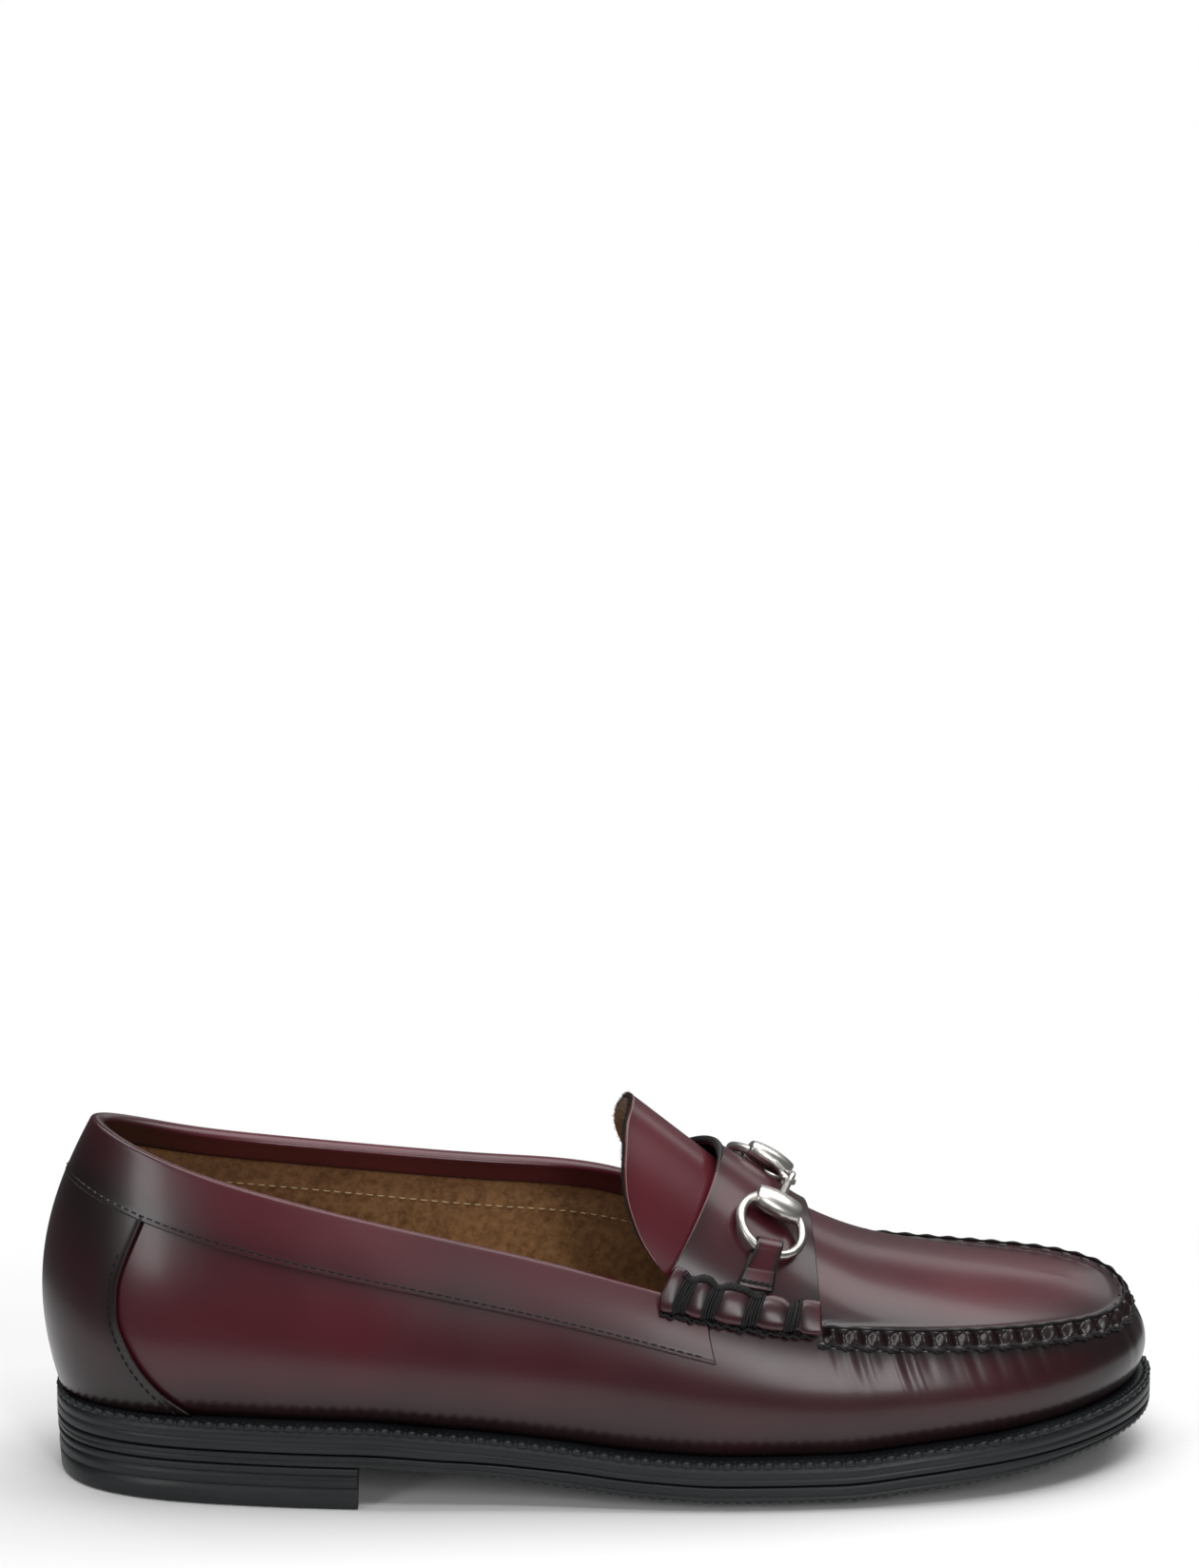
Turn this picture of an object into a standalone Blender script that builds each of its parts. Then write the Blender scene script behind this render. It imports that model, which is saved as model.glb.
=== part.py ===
"""A right-foot bit loafer, built as its maker assembles it: a moccasin upper, a rubber sole in
three layers, an insole, a tongue, a saddle strap with beef rolls, and a metal bit in leather tabs.

Metres, +X to the toe, +Y to the inner (medial) side, +Z up. The origin is the centre of the
heel's flat base, on the floor."""

import bmesh
import bpy
import numpy as np
from mathutils import Matrix

# Driving sizes
SOLE_LENGTH = 0.297
BALL_WIDTH = 0.100
BACK_HEIGHT = 0.0961
INSTEP_HEIGHT = 0.0845
HEEL_LENGTH = 0.081
HEEL_BLOCK = 0.0122
OUTSOLE = 0.0036
MIDSOLE = 0.0075
TOE_SPRING = 0.0096
SOLE_CROWN = 0.0024
SOLE_SWELL = 0.0012
INSOLE = 0.0026
WALL = 0.0016
GAP = 0.0003

# Overlays on the upper
LASTING_MARGIN = 0.0085
COLLAR_LEATHER = 0.0009
COLLAR_WIDTH = 0.0168
COLLAR_TURN_IN = 0.0065
COUNTER_LEATHER = 0.0008
SEAM_RISE = 0.0015
SEAM_WIDTH = 0.0040
STRAP_LEATHER = 0.0016
ROLL_HEIGHT = 0.0040
ROLL_REACH_REAR = 0.0066
ROLL_REACH_FRONT = 0.0038
ROLL_RAISE = 0.0017
ROLL_NECK = 0.16
ROLL_BINDINGS = (0.14, 0.33, 0.59, 0.83)

# Tongue
TONGUE_LEATHER = 0.0018
TONGUE_LENGTH = 0.0357
TONGUE_FAR_SHARE = 0.07
TONGUE_SLOPE = np.radians(39.0)

# Bit
RING_RADIUS = 0.0091
RING_WIRE = 0.0013
RING_ANGLE = {"outer": np.radians(36.0), "inner": np.radians(32.0)}
RING_LIFT = 0.0025
SHELL_SIZE = (0.0130, 0.0064, 0.0046)
NECK_WIRE = 0.0014
LOOP_RADIUS = 0.0020
LOOP_WIRE = 0.0008
LOOP_LIFT = 0.0034
RING_PLACE = 1.11
LOOP_PLACE = 1.33
TAB_WIDTH = 0.0072
TAB_LEATHER = 0.0009

# Places along the shoe, as shares of the sole's length
COLLAR_END = 0.583
ROLL_REAR = 0.540
ROLL_FRONT = 0.682
RIDGE_Y = 0.015

# Mesh fineness
WALL_ROWS = 8
REAR_STATIONS = 14
PLUG_STATIONS = 13
PLUG_COLUMNS_ACROSS = 14
SOLE_STATIONS = 26
SOLE_COLUMNS = 6

# The wall's sections, from the heel's back along the outer side to the toe and back along the
# inner side. sole_x and top_x are shares of the sole's length, top_z of the back height and the
# rest of the ball width. inset is from the sole's edge to the wall's foot, and low and high are
# how far the wall swells outwards near its foot and near its top.
WALL_COLUMNS = ("sole_x", "sole_y", "inset", "top_x", "top_y", "top_z", "low", "high")
WALL_SECTIONS = (
    (0.0000, 0.000, 0.020, 0.0400, 0.000, 1.000, 0.076, 0.142),
    (0.0205, -0.185, 0.036, 0.0690, -0.120, 0.965, 0.088, 0.110),
    (0.0673, -0.285, 0.046, 0.1150, -0.188, 0.916, 0.094, 0.104),
    (0.1515, -0.355, 0.050, 0.1850, -0.244, 0.857, 0.088, 0.102),
    (0.2860, -0.408, 0.050, 0.2960, -0.278, 0.771, 0.075, 0.103),
    (0.4210, -0.424, 0.052, 0.4110, -0.299, 0.689, 0.065, 0.103),
    (0.5556, -0.452, 0.055, 0.5286, -0.328, 0.596, 0.058, 0.100),
    (0.6667, -0.460, 0.055, 0.6400, -0.345, 0.506, 0.055, 0.085),
    (0.7740, -0.436, 0.055, 0.7475, -0.336, 0.465, 0.055, 0.080),
    (0.8690, -0.377, 0.052, 0.8430, -0.298, 0.450, 0.055, 0.080),
    (0.9390, -0.272, 0.048, 0.9170, -0.215, 0.438, 0.052, 0.080),
    (0.9830, -0.136, 0.045, 0.9590, -0.108, 0.434, 0.048, 0.078),
    (1.0000, 0.030, 0.043, 0.9715, 0.025, 0.448, 0.045, 0.078),
    (0.9850, 0.200, 0.045, 0.9590, 0.140, 0.466, 0.048, 0.080),
    (0.9390, 0.345, 0.048, 0.9170, 0.238, 0.477, 0.052, 0.083),
    (0.8586, 0.464, 0.052, 0.8330, 0.315, 0.482, 0.055, 0.085),
    (0.7475, 0.533, 0.055, 0.7306, 0.365, 0.500, 0.055, 0.090),
    (0.6400, 0.520, 0.055, 0.6296, 0.372, 0.562, 0.050, 0.095),
    (0.5320, 0.415, 0.055, 0.5219, 0.352, 0.700, 0.050, 0.085),
    (0.4110, 0.322, 0.052, 0.4040, 0.306, 0.767, 0.060, 0.083),
    (0.2795, 0.338, 0.050, 0.2896, 0.278, 0.810, 0.075, 0.093),
    (0.1515, 0.350, 0.050, 0.1818, 0.244, 0.859, 0.088, 0.102),
    (0.0673, 0.290, 0.046, 0.1150, 0.188, 0.908, 0.094, 0.104),
    (0.0200, 0.185, 0.036, 0.0690, 0.120, 0.959, 0.088, 0.110),
)
TOE_SECTION = 12

# The outsole's underside along the shoe: shares of the sole's length, of the heel block's height
# behind the ball, and of the toe spring ahead of it.
UNDERSIDE_COLUMNS = ("x", "heel_rise", "toe_rise")
UNDERSIDE = (
    (0.000, 1.00, 0.0),
    (0.275, 0.98, 0.0),
    (0.360, 0.74, 0.0),
    (0.450, 0.36, 0.0),
    (0.530, 0.10, 0.0),
    (0.600, 0.00, 0.0),
    (0.700, 0.00, 0.0),
    (0.770, 0.00, 0.16),
    (0.870, 0.00, 0.44),
    (1.000, 0.00, 1.00),
)

# The plug, the flat piece over the toes and instep: where its outer and inner edges lie on the
# seam, and its ridge, as shares of the sole's length and the instep height. arch is 1 where the
# section is a quarter ellipse and 2 where it is a flat parabola.
PLUG_COLUMNS = ("outer_x", "inner_x", "ridge_x", "ridge_z", "arch")
PLUG_SECTIONS = (
    (0.5390, 0.5290, 0.5990, 0.991, 1.35),
    (0.6080, 0.6020, 0.6400, 0.890, 1.40),
    (0.6850, 0.6800, 0.6810, 0.782, 1.50),
    (0.7570, 0.7480, 0.7450, 0.678, 1.65),
    (0.8420, 0.8290, 0.8180, 0.622, 1.85),
    (0.9120, 0.9050, 0.8750, 0.590, 2.00),
    (0.9560, 0.9540, 0.9050, 0.570, 2.00),
    (0.9715, 0.9715, 0.9180, 0.560, 2.00),
)
PLUG_START = 0.45
STRAP_FRONT = 1.98

# The tongue's free edge: how far it stands behind its base at each angle from the ridge.
TONGUE_EDGE_DEGREES = (0.0, 23.0, 43.0, 57.0, 72.0, 83.0, 90.0)
TONGUE_EDGE_SHARE = (1.0, 1.03, 0.97, 0.875, 0.655, 0.39, 0.18)

# The counter's front edge on each side: height up the wall, and distance from the heel's back
# along the sole's edge as a share of the way round.
COUNTER_HEIGHT = (0.0, 0.12, 0.30, 0.50, 0.70, 1.0)
COUNTER_EDGE = (0.080, 0.068, 0.056, 0.047, 0.044, 0.046)

LEATHER = (0.085, 0.018, 0.022, 1.0)
RUBBER = (0.012, 0.013, 0.014, 1.0)
SUEDE = (0.16, 0.085, 0.035, 1.0)
STEEL = (0.42, 0.41, 0.39, 1.0)


def clear_scene():
    """Removes every object that the file starts with."""
    for obj in list(bpy.data.objects):
        bpy.data.objects.remove(obj)


def new_collection(name):
    """A collection under the scene's own."""
    made = bpy.data.collections.new(name)
    bpy.context.scene.collection.children.link(made)
    return made


def new_material(name, colour, roughness, metallic=0.0):
    """A Principled BSDF of one colour."""
    material = bpy.data.materials.new(name)
    material.use_nodes = True
    shader = material.node_tree.nodes["Principled BSDF"]
    shader.inputs["Base Color"].default_value = colour
    shader.inputs["Roughness"].default_value = roughness
    shader.inputs["Metallic"].default_value = metallic
    return material


def column(table, names, name):
    """One named column of a table, as an array."""
    return np.array([row[names.index(name)] for row in table])


def smooth_through(x, xs, ys):
    """A curve through the points (xs, ys) that never overshoots them: cubic pieces whose slope
    at a point is the harmonic mean of its neighbours' slopes."""
    xs, ys = np.asarray(xs, float), np.asarray(ys, float)
    slopes = np.diff(ys) / np.diff(xs)
    inner = np.zeros(len(xs))
    same = slopes[1:] * slopes[:-1] > 0
    inner[1:-1][same] = 2 / (1 / slopes[1:][same] + 1 / slopes[:-1][same])
    inner[0], inner[-1] = slopes[0], slopes[-1]
    x = np.clip(x, xs[0], xs[-1])
    i = np.clip(np.searchsorted(xs, x, side="right") - 1, 0, len(xs) - 2)
    step = xs[i + 1] - xs[i]
    t = (x - xs[i]) / step
    return (
        ys[i] * (1 + 2 * t) * (1 - t) ** 2
        + inner[i] * step * t * (1 - t) ** 2
        + ys[i + 1] * t**2 * (3 - 2 * t)
        + inner[i + 1] * step * t**2 * (t - 1)
    )


def closed_spline(knots, values, around):
    """A closed cubic spline through values at knots, which start at 0 and close at 1."""
    count = len(knots)
    gaps = np.diff(np.append(knots, 1.0))
    matrix, right = np.zeros((count, count)), np.zeros(values.shape)
    for i in range(count):
        before, after = (i - 1) % count, (i + 1) % count
        matrix[i, before] += gaps[before]
        matrix[i, i] += 2 * (gaps[before] + gaps[i])
        matrix[i, after] += gaps[i]
        right[i] = 6 * (values[after] - values[i]) / gaps[i]
        right[i] -= 6 * (values[i] - values[before]) / gaps[before]
    bend = np.linalg.solve(matrix, right)
    around = np.mod(around, 1.0)
    i = np.clip(np.searchsorted(knots, around, side="right") - 1, 0, count - 1)
    j = (i + 1) % count
    gap = gaps[i][..., None]
    t = (around - knots[i])[..., None]
    return (
        (bend[i] * (gap - t) ** 3 + bend[j] * t**3) / (6 * gap)
        + (values[i] / gap - bend[i] * gap / 6) * (gap - t)
        + (values[j] / gap - bend[j] * gap / 6) * t
    )


def wall_sizes():
    """The wall's sections in metres, and the share of the way round at which each stands."""
    scale = dict(
        sole_x=SOLE_LENGTH, top_x=SOLE_LENGTH, top_z=BACK_HEIGHT,
        sole_y=BALL_WIDTH, top_y=BALL_WIDTH, inset=BALL_WIDTH, low=BALL_WIDTH, high=BALL_WIDTH,
    )
    sizes = np.array(WALL_SECTIONS) * [scale[name] for name in WALL_COLUMNS]
    for name in ("sole_x", "top_x"):
        sizes[:, WALL_COLUMNS.index(name)] -= HEEL_LENGTH / 2
    edge = sizes[:, :2]
    steps = np.linalg.norm(np.roll(edge, -1, axis=0) - edge, axis=1)
    knots = np.concatenate([[0.0], np.cumsum(steps)[:-1]]) / steps.sum()
    return knots, sizes


WALL_KNOTS, WALL_SIZES = wall_sizes()
TOE = WALL_KNOTS[TOE_SECTION]


def wall_section(around):
    """The wall's named sizes at each place around the shoe, as a dict of arrays."""
    values = closed_spline(WALL_KNOTS, WALL_SIZES, np.asarray(around, float))
    return {name: values[..., i] for i, name in enumerate(WALL_COLUMNS)}


def outward(around):
    """The level direction that points out of the sole's edge, of unit length."""
    small = 1e-4
    ahead, behind = wall_section(around + small), wall_section(around - small)
    along = np.stack([ahead["sole_x"] - behind["sole_x"], ahead["sole_y"] - behind["sole_y"]], -1)
    along /= np.linalg.norm(along, axis=-1, keepdims=True)
    return np.stack([along[..., 1], -along[..., 0]], -1)


def underside(x):
    """Height of the outsole's underside on the shoe's centre line."""
    share = (x + HEEL_LENGTH / 2) / SOLE_LENGTH
    names = UNDERSIDE_COLUMNS
    rise = (
        column(UNDERSIDE, names, "heel_rise") * HEEL_BLOCK
        + column(UNDERSIDE, names, "toe_rise") * TOE_SPRING
    )
    return smooth_through(share, column(UNDERSIDE, names, "x"), rise)


def sole_swell(x):
    """How much of the sole's crown and swell is present: none over the heel, all at the ball."""
    share = (x + HEEL_LENGTH / 2) / SOLE_LENGTH
    return smooth_through(share, (0.0, 0.28, 0.48, 0.80, 1.0), (0.0, 0.0, 1.0, 1.0, 0.4))


def crown(x, across):
    """How far the sole's edges lift from its centre line, from across = -1 to 1."""
    share = (x + HEEL_LENGTH / 2) / SOLE_LENGTH
    fade = smooth_through(share, (0.0, 0.28, 0.45, 1.0), (0.0, 0.0, 1.0, 1.0))
    return SOLE_CROWN * fade * np.abs(across) ** 4


def sole_layers(x):
    """Heights of the outsole's top and of the midsole's top."""
    swell = sole_swell(x)
    low = underside(x) + OUTSOLE + (SOLE_CROWN + SOLE_SWELL) * swell
    return low, underside(x) + OUTSOLE + MIDSOLE + SOLE_CROWN * swell


def sole_top(x):
    """Height of the midsole's top, on which the upper stands."""
    return sole_layers(x)[1]


def wall_point(around, height):
    """A point of the wall's outer face. height runs from 0 at its foot to 1 at its top edge:
    a cubic curve that swells outwards by low near its foot and by high near its top."""
    size, out = wall_section(around), outward(around)
    foot_x = size["sole_x"] - out[..., 0] * size["inset"]
    foot_y = size["sole_y"] - out[..., 1] * size["inset"]
    foot_z = sole_top(foot_x) + GAP
    rise = (size["top_z"] - foot_z) * 0.36
    foot = np.stack([foot_x, foot_y, foot_z], -1)
    top = np.stack([size["top_x"], size["top_y"], size["top_z"]], -1)
    level = np.concatenate([out, np.zeros(out.shape[:-1] + (1,))], -1)
    lift = np.zeros(foot.shape)
    lift[..., 2] = rise
    lower = foot + level * size["low"][..., None] + lift
    upper = top + level * size["high"][..., None] - lift
    t = np.asarray(height, float)[..., None]
    return (1 - t) ** 3 * foot + 3 * t * (1 - t) ** 2 * lower + 3 * t**2 * (1 - t) * upper + t**3 * top


def seam_place(x, side):
    """The share of the way round at which the wall's top edge has this x, on one side."""
    ends = (0.0, TOE) if side == "outer" else (1.0, TOE)
    places = np.linspace(ends[0], ends[1], 401)
    return np.interp(x, wall_section(places)["top_x"], places)


def plug_section(place):
    """The plug's section at a place along it, 0 at the throat and 7 at the toe."""
    rows = np.arange(len(PLUG_SECTIONS))
    return {
        name: smooth_through(place, rows, column(PLUG_SECTIONS, PLUG_COLUMNS, name))
        for name in PLUG_COLUMNS
    }


def plug_point(place, angle):
    """A point of the plug. angle runs from -90 degrees at the outer seam over 0 at the ridge to
    90 at the inner seam: a quarter ellipse, flattened by the arch exponent, on each side."""
    place, angle = np.broadcast_arrays(np.asarray(place, float), angle)
    size = plug_section(place)
    side_x = np.where(angle < 0, size["outer_x"], size["inner_x"]) * SOLE_LENGTH - HEEL_LENGTH / 2
    outer, inner = seam_place(side_x, "outer"), seam_place(side_x, "inner")
    edge = wall_point(np.where(angle < 0, outer, inner), np.ones(np.shape(side_x)))
    ridge = np.stack(
        [
            size["ridge_x"] * SOLE_LENGTH - HEEL_LENGTH / 2,
            np.full(np.shape(side_x), RIDGE_Y * BALL_WIDTH),
            size["ridge_z"] * INSTEP_HEIGHT,
        ],
        -1,
    )
    centre = edge.copy()
    centre[..., 1] = ridge[..., 1]
    turn = np.abs(np.sin(angle))[..., None]
    rise = (np.clip(np.cos(angle), 0, 1) ** size["arch"])[..., None]
    return centre + turn * (edge - centre) + rise * (ridge - centre)


def normal_of(point, u, v):
    """The unit normal of a surface, from small steps along its two parameters."""
    small = 1e-4
    along_u = point(u + small, v) - point(u - small, v)
    along_v = point(u, v + small) - point(u, v - small)
    normal = np.cross(along_u, along_v)
    return normal / np.linalg.norm(normal, axis=-1, keepdims=True)


def wall_lifted(around, height, lift):
    """A point at a distance outside the wall's outer face."""
    around, height = np.broadcast_arrays(around, height)
    lift = np.asarray(lift, float)[..., None]
    return wall_point(around, height) + normal_of(wall_point, around, height) * lift


def plug_lifted(place, angle, lift):
    """A point at a distance above the plug's outer face. The normal at the very seam is taken
    two degrees inside it."""
    place, angle = np.broadcast_arrays(place, angle)
    limit = np.radians(88.0)
    lift = np.asarray(lift, float)[..., None]
    return plug_point(place, angle) + normal_of(plug_point, place, np.clip(angle, -limit, limit)) * lift


def seam_ends(place):
    """Where the plug's section meets the seam: shares of the way round, outer then inner."""
    size = plug_section(place)
    outer_x = size["outer_x"] * SOLE_LENGTH - HEEL_LENGTH / 2
    inner_x = size["inner_x"] * SOLE_LENGTH - HEEL_LENGTH / 2
    return seam_place(outer_x, "outer"), seam_place(inner_x, "inner")


def path_share(points, distance):
    """The index, with its fraction, at which a path of points has run a distance."""
    run = np.concatenate([[0.0], np.cumsum(np.linalg.norm(np.diff(points, axis=0), axis=1))])
    return np.interp(distance, run, np.arange(len(run)))


def beside_seam(place, side, distance, lift):
    """A point lifted off the skin at a distance from the seam: above it, on the plug, where
    distance is positive, and below it, on the wall, where it is negative."""
    steps = np.linspace(0.0, 1.0, 81)
    sign = -1.0 if side == "outer" else 1.0
    around = seam_ends(place)[0 if side == "outer" else 1]
    if distance >= 0:
        angles = sign * np.radians(90.0 - 75.0 * steps)
        share = path_share(plug_point(np.full(81, place), angles), distance) / 80
        return plug_lifted(place, sign * np.radians(90.0 - 75.0 * share), lift)
    share = path_share(wall_point(np.full(81, around), 1 - 0.8 * steps), -distance) / 80
    return wall_lifted(around, 1 - 0.8 * share, lift)


def angle_from_seam(place, side, distance):
    """The plug's angle at a distance inside the seam, on one side."""
    sign = -1.0 if side == "outer" else 1.0
    angles = sign * np.radians(np.linspace(90.0, 15.0, 81))
    share = path_share(plug_point(np.full(81, place), angles), distance)
    return float(np.interp(share, np.arange(81), angles))


def roll_places():
    """Where the beef roll starts and ends along the plug."""
    outer = column(PLUG_SECTIONS, PLUG_COLUMNS, "outer_x")
    return np.interp((ROLL_REAR, ROLL_FRONT), outer, np.arange(len(outer)))


def roll_reach(place):
    """Half the beef roll's height at a place along the plug."""
    start, end = roll_places()
    share = np.clip((place - start) / (end - start), 0.0, 1.0)
    return ROLL_REACH_REAR + (ROLL_REACH_FRONT - ROLL_REACH_REAR) * share


def new_object(name, vertices, faces, collection, material):
    """An object from points and faces: coincident points merged, faces turned outwards."""
    mesh = bpy.data.meshes.new(name)
    mesh.from_pydata([tuple(float(c) for c in v) for v in vertices], [], faces)
    shape = bmesh.new()
    shape.from_mesh(mesh)
    bmesh.ops.remove_doubles(shape, verts=shape.verts, dist=1e-5)
    bmesh.ops.dissolve_degenerate(shape, edges=shape.edges, dist=1e-6)
    shape.to_mesh(mesh)
    shape.free()
    mesh.materials.append(material)
    obj = bpy.data.objects.new(name, mesh)
    collection.objects.link(obj)
    return obj


def grid_faces(rows, columns, start=0, flip=False):
    """The faces of a grid of points written row by row from an index."""
    faces = []
    for i in range(rows - 1):
        for j in range(columns - 1):
            a = start + i * columns + j
            face = (a, a + columns, a + columns + 1, a + 1)
            faces.append(face[::-1] if flip else face)
    return faces


def add_thickness(obj, thickness, offset=-1.0):
    """Gives a sheet its thickness with Solidify: inwards, unless the offset says otherwise."""
    solid = obj.modifiers.new("Thickness", "SOLIDIFY")
    solid.thickness = thickness
    solid.offset = offset
    solid.use_even_offset = True
    solid.use_quality_normals = True
    return obj


def sheet(name, grids, thickness, collection, material, offset=-1.0):
    """A sheet made of one or more grids of points that share their edges, made solid."""
    vertices, faces = [], []
    for grid in grids:
        rows, columns = grid.shape[:2]
        faces += grid_faces(rows, columns, len(vertices))
        vertices += list(grid.reshape(-1, 3))
    obj = new_object(name, vertices, faces, collection, material)
    return add_thickness(obj, thickness, offset)


def tube(name, rings, collection, material):
    """A body through closed rings of points, with a flat cap at each end."""
    count, sides = rings.shape[:2]
    vertices = list(rings.reshape(-1, 3))
    faces = [tuple(range(sides))[::-1], tuple(range((count - 1) * sides, count * sides))]
    for i in range(count - 1):
        for j in range(sides):
            k = (j + 1) % sides
            faces.append((i * sides + j, i * sides + k, (i + 1) * sides + k, (i + 1) * sides + j))
    obj = new_object(name, vertices, faces, collection, material)
    turn_outwards(obj)
    return obj


def turn_outwards(obj):
    """Turns a closed body's faces to point out."""
    shape = bmesh.new()
    shape.from_mesh(obj.data)
    bmesh.ops.recalc_face_normals(shape, faces=shape.faces)
    shape.to_mesh(obj.data)
    shape.free()


def plate(name, around, layers, collection, material):
    """A layer of the sole. around holds pairs of stations, outer and inner, that are joined by
    lines across; layers are (outset from the sole's edge, height function of x and across), the
    lowest first. The first and last close the body, and the others only shape its side."""
    across = np.linspace(-1.0, 1.0, SOLE_COLUMNS + 1)
    grids = []
    for outset, height in layers:
        edges = []
        for side in (0, 1):
            size, out = wall_section(around[:, side]), outward(around[:, side])
            edge = np.stack([size["sole_x"], size["sole_y"]], -1) + out * outset
            edges.append(edge)
        share = (across[None, :, None] + 1) / 2
        flat = edges[0][:, None] * (1 - share) + edges[1][:, None] * share
        width = np.linalg.norm(edges[1] - edges[0], axis=1)[:, None]
        level = height(flat[..., 0], 1 - np.clip(width / 0.03, 0, 1) * (1 - np.abs(across)))
        grids.append(np.concatenate([flat, level[..., None]], -1))
    rows, columns = grids[0].shape[:2]
    vertices = np.concatenate([grid.reshape(-1, 3) for grid in grids])
    size = rows * columns
    faces = grid_faces(rows, columns, 0, True) + grid_faces(rows, columns, (len(grids) - 1) * size)
    rim = [i * columns for i in range(rows)]
    rim += [(rows - 1) * columns + j for j in range(1, columns)]
    rim += [i * columns + columns - 1 for i in range(rows - 2, -1, -1)]
    rim += [j for j in range(columns - 2, 0, -1)]
    for k in range(len(grids) - 1):
        for a, b in zip(rim, rim[1:] + rim[:1]):
            faces.append((k * size + a, k * size + b, (k + 1) * size + b, (k + 1) * size + a))
    used = sorted({i for face in faces for i in face})
    places = {old: new for new, old in enumerate(used)}
    faces = [tuple(places[i] for i in face) for face in faces]
    obj = new_object(name, vertices[used], faces, collection, material)
    turn_outwards(obj)
    return obj


def joined(name, parts, collection, material):
    """One body from several that cross, by exact Boolean unions."""
    body = parts[0]
    body.name = name
    for other in parts[1:]:
        union = body.modifiers.new("Join " + other.name, "BOOLEAN")
        union.operation = "UNION"
        union.solver = "EXACT"
        union.object = other
    depsgraph = bpy.context.evaluated_depsgraph_get()
    mesh = bpy.data.meshes.new_from_object(body.evaluated_get(depsgraph))
    mesh.name = name
    for other in parts:
        bpy.data.objects.remove(other)
    obj = bpy.data.objects.new(name, mesh)
    mesh.materials.clear()
    mesh.materials.append(material)
    collection.objects.link(obj)
    return obj


def sole_pairs(end=TOE, count=SOLE_STATIONS):
    """Pairs of stations from the heel to an end, given as a share of the way round on the outer
    side, closer together where the outline turns."""
    turn = 0.5 - 0.5 * np.cos(np.pi * np.linspace(0.0, 1.0, count + 1))
    share = 0.6 * turn + 0.4 * np.linspace(0.0, 1.0, count + 1)
    return np.stack([share * TOE, 1 - share * (1 - TOE)], -1) if end == TOE else share * end


def make_sole(collection, rubber):
    """The outsole, the midsole with its welt, and the heel block."""
    pairs = sole_pairs()
    below = lambda x, across: underside(x) + crown(x, across)
    between = lambda x, across: sole_layers(x)[0] + 0 * across
    above = lambda x, across: sole_top(x) + 0 * across
    plate(
        "outsole", pairs,
        [
            (-0.0006, below),
            (0.0, lambda x, across: below(x, across) + 0.0006),
            (0.0, lambda x, across: between(x, across) - GAP - 0.0004),
            (-0.0008, lambda x, across: between(x, across) - GAP),
        ],
        collection, rubber,
    )
    plate(
        "midsole", pairs,
        [
            (-0.0008, between),
            (0.0, lambda x, across: between(x, across) + 0.0005),
            (0.0, lambda x, across: above(x, across) - 0.0007),
            (-0.0005, above),
        ],
        collection, rubber,
    )
    breast = HEEL_LENGTH / 2
    stations = np.linspace(0.0, TOE, 400)
    outer_end = np.interp(breast, wall_section(stations)["sole_x"], stations)
    stations = np.linspace(1.0, TOE, 400)
    inner_end = np.interp(breast, wall_section(stations)["sole_x"], stations)
    share = np.linspace(0.0, 1.0, 14) ** 1.2
    pairs = np.stack([share * outer_end, 1 - share * (1 - inner_end)], -1)
    top = HEEL_BLOCK - GAP
    layers = [(-0.0010, 0.0), (-0.0004, 0.0006), (-0.0002, top * 0.51 - 0.0003), (-0.0010, top * 0.51)]
    layers += [(-0.0002, top * 0.51 + 0.0003), (0.0, top * 0.80 - 0.0003), (-0.0008, top * 0.80)]
    layers += [(0.0, top * 0.80 + 0.0003), (0.0, top - 0.0004), (-0.0008, top)]

    def heel_height(level):
        return lambda x, across: np.minimum(level, underside(x) - GAP)

    plate("heel", pairs, [(out, heel_height(z)) for out, z in layers], collection, rubber)


def make_insole(collection, material):
    """The insole, inside the wall's foot and on its lasting margin."""
    pairs = sole_pairs()
    size = wall_section(pairs[:, 0])
    inset = -float(np.max(size["inset"])) - WALL - 2 * GAP
    foot = lambda x, across: sole_top(x) + 2 * GAP + WALL
    plate(
        "insole", pairs,
        [
            (inset, foot),
            (inset, lambda x, across: foot(x, across) + INSOLE),
        ],
        collection, material,
    )


def rear_stations():
    """The wall's stations behind the throat: from the heel's back along the outer side, and
    along the inner side, where they run below 0."""
    outer, inner = seam_ends(PLUG_START)
    turn = np.linspace(0.0, 1.0, REAR_STATIONS + 1) ** 1.25
    return turn * outer, turn * (inner - 1)


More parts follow.
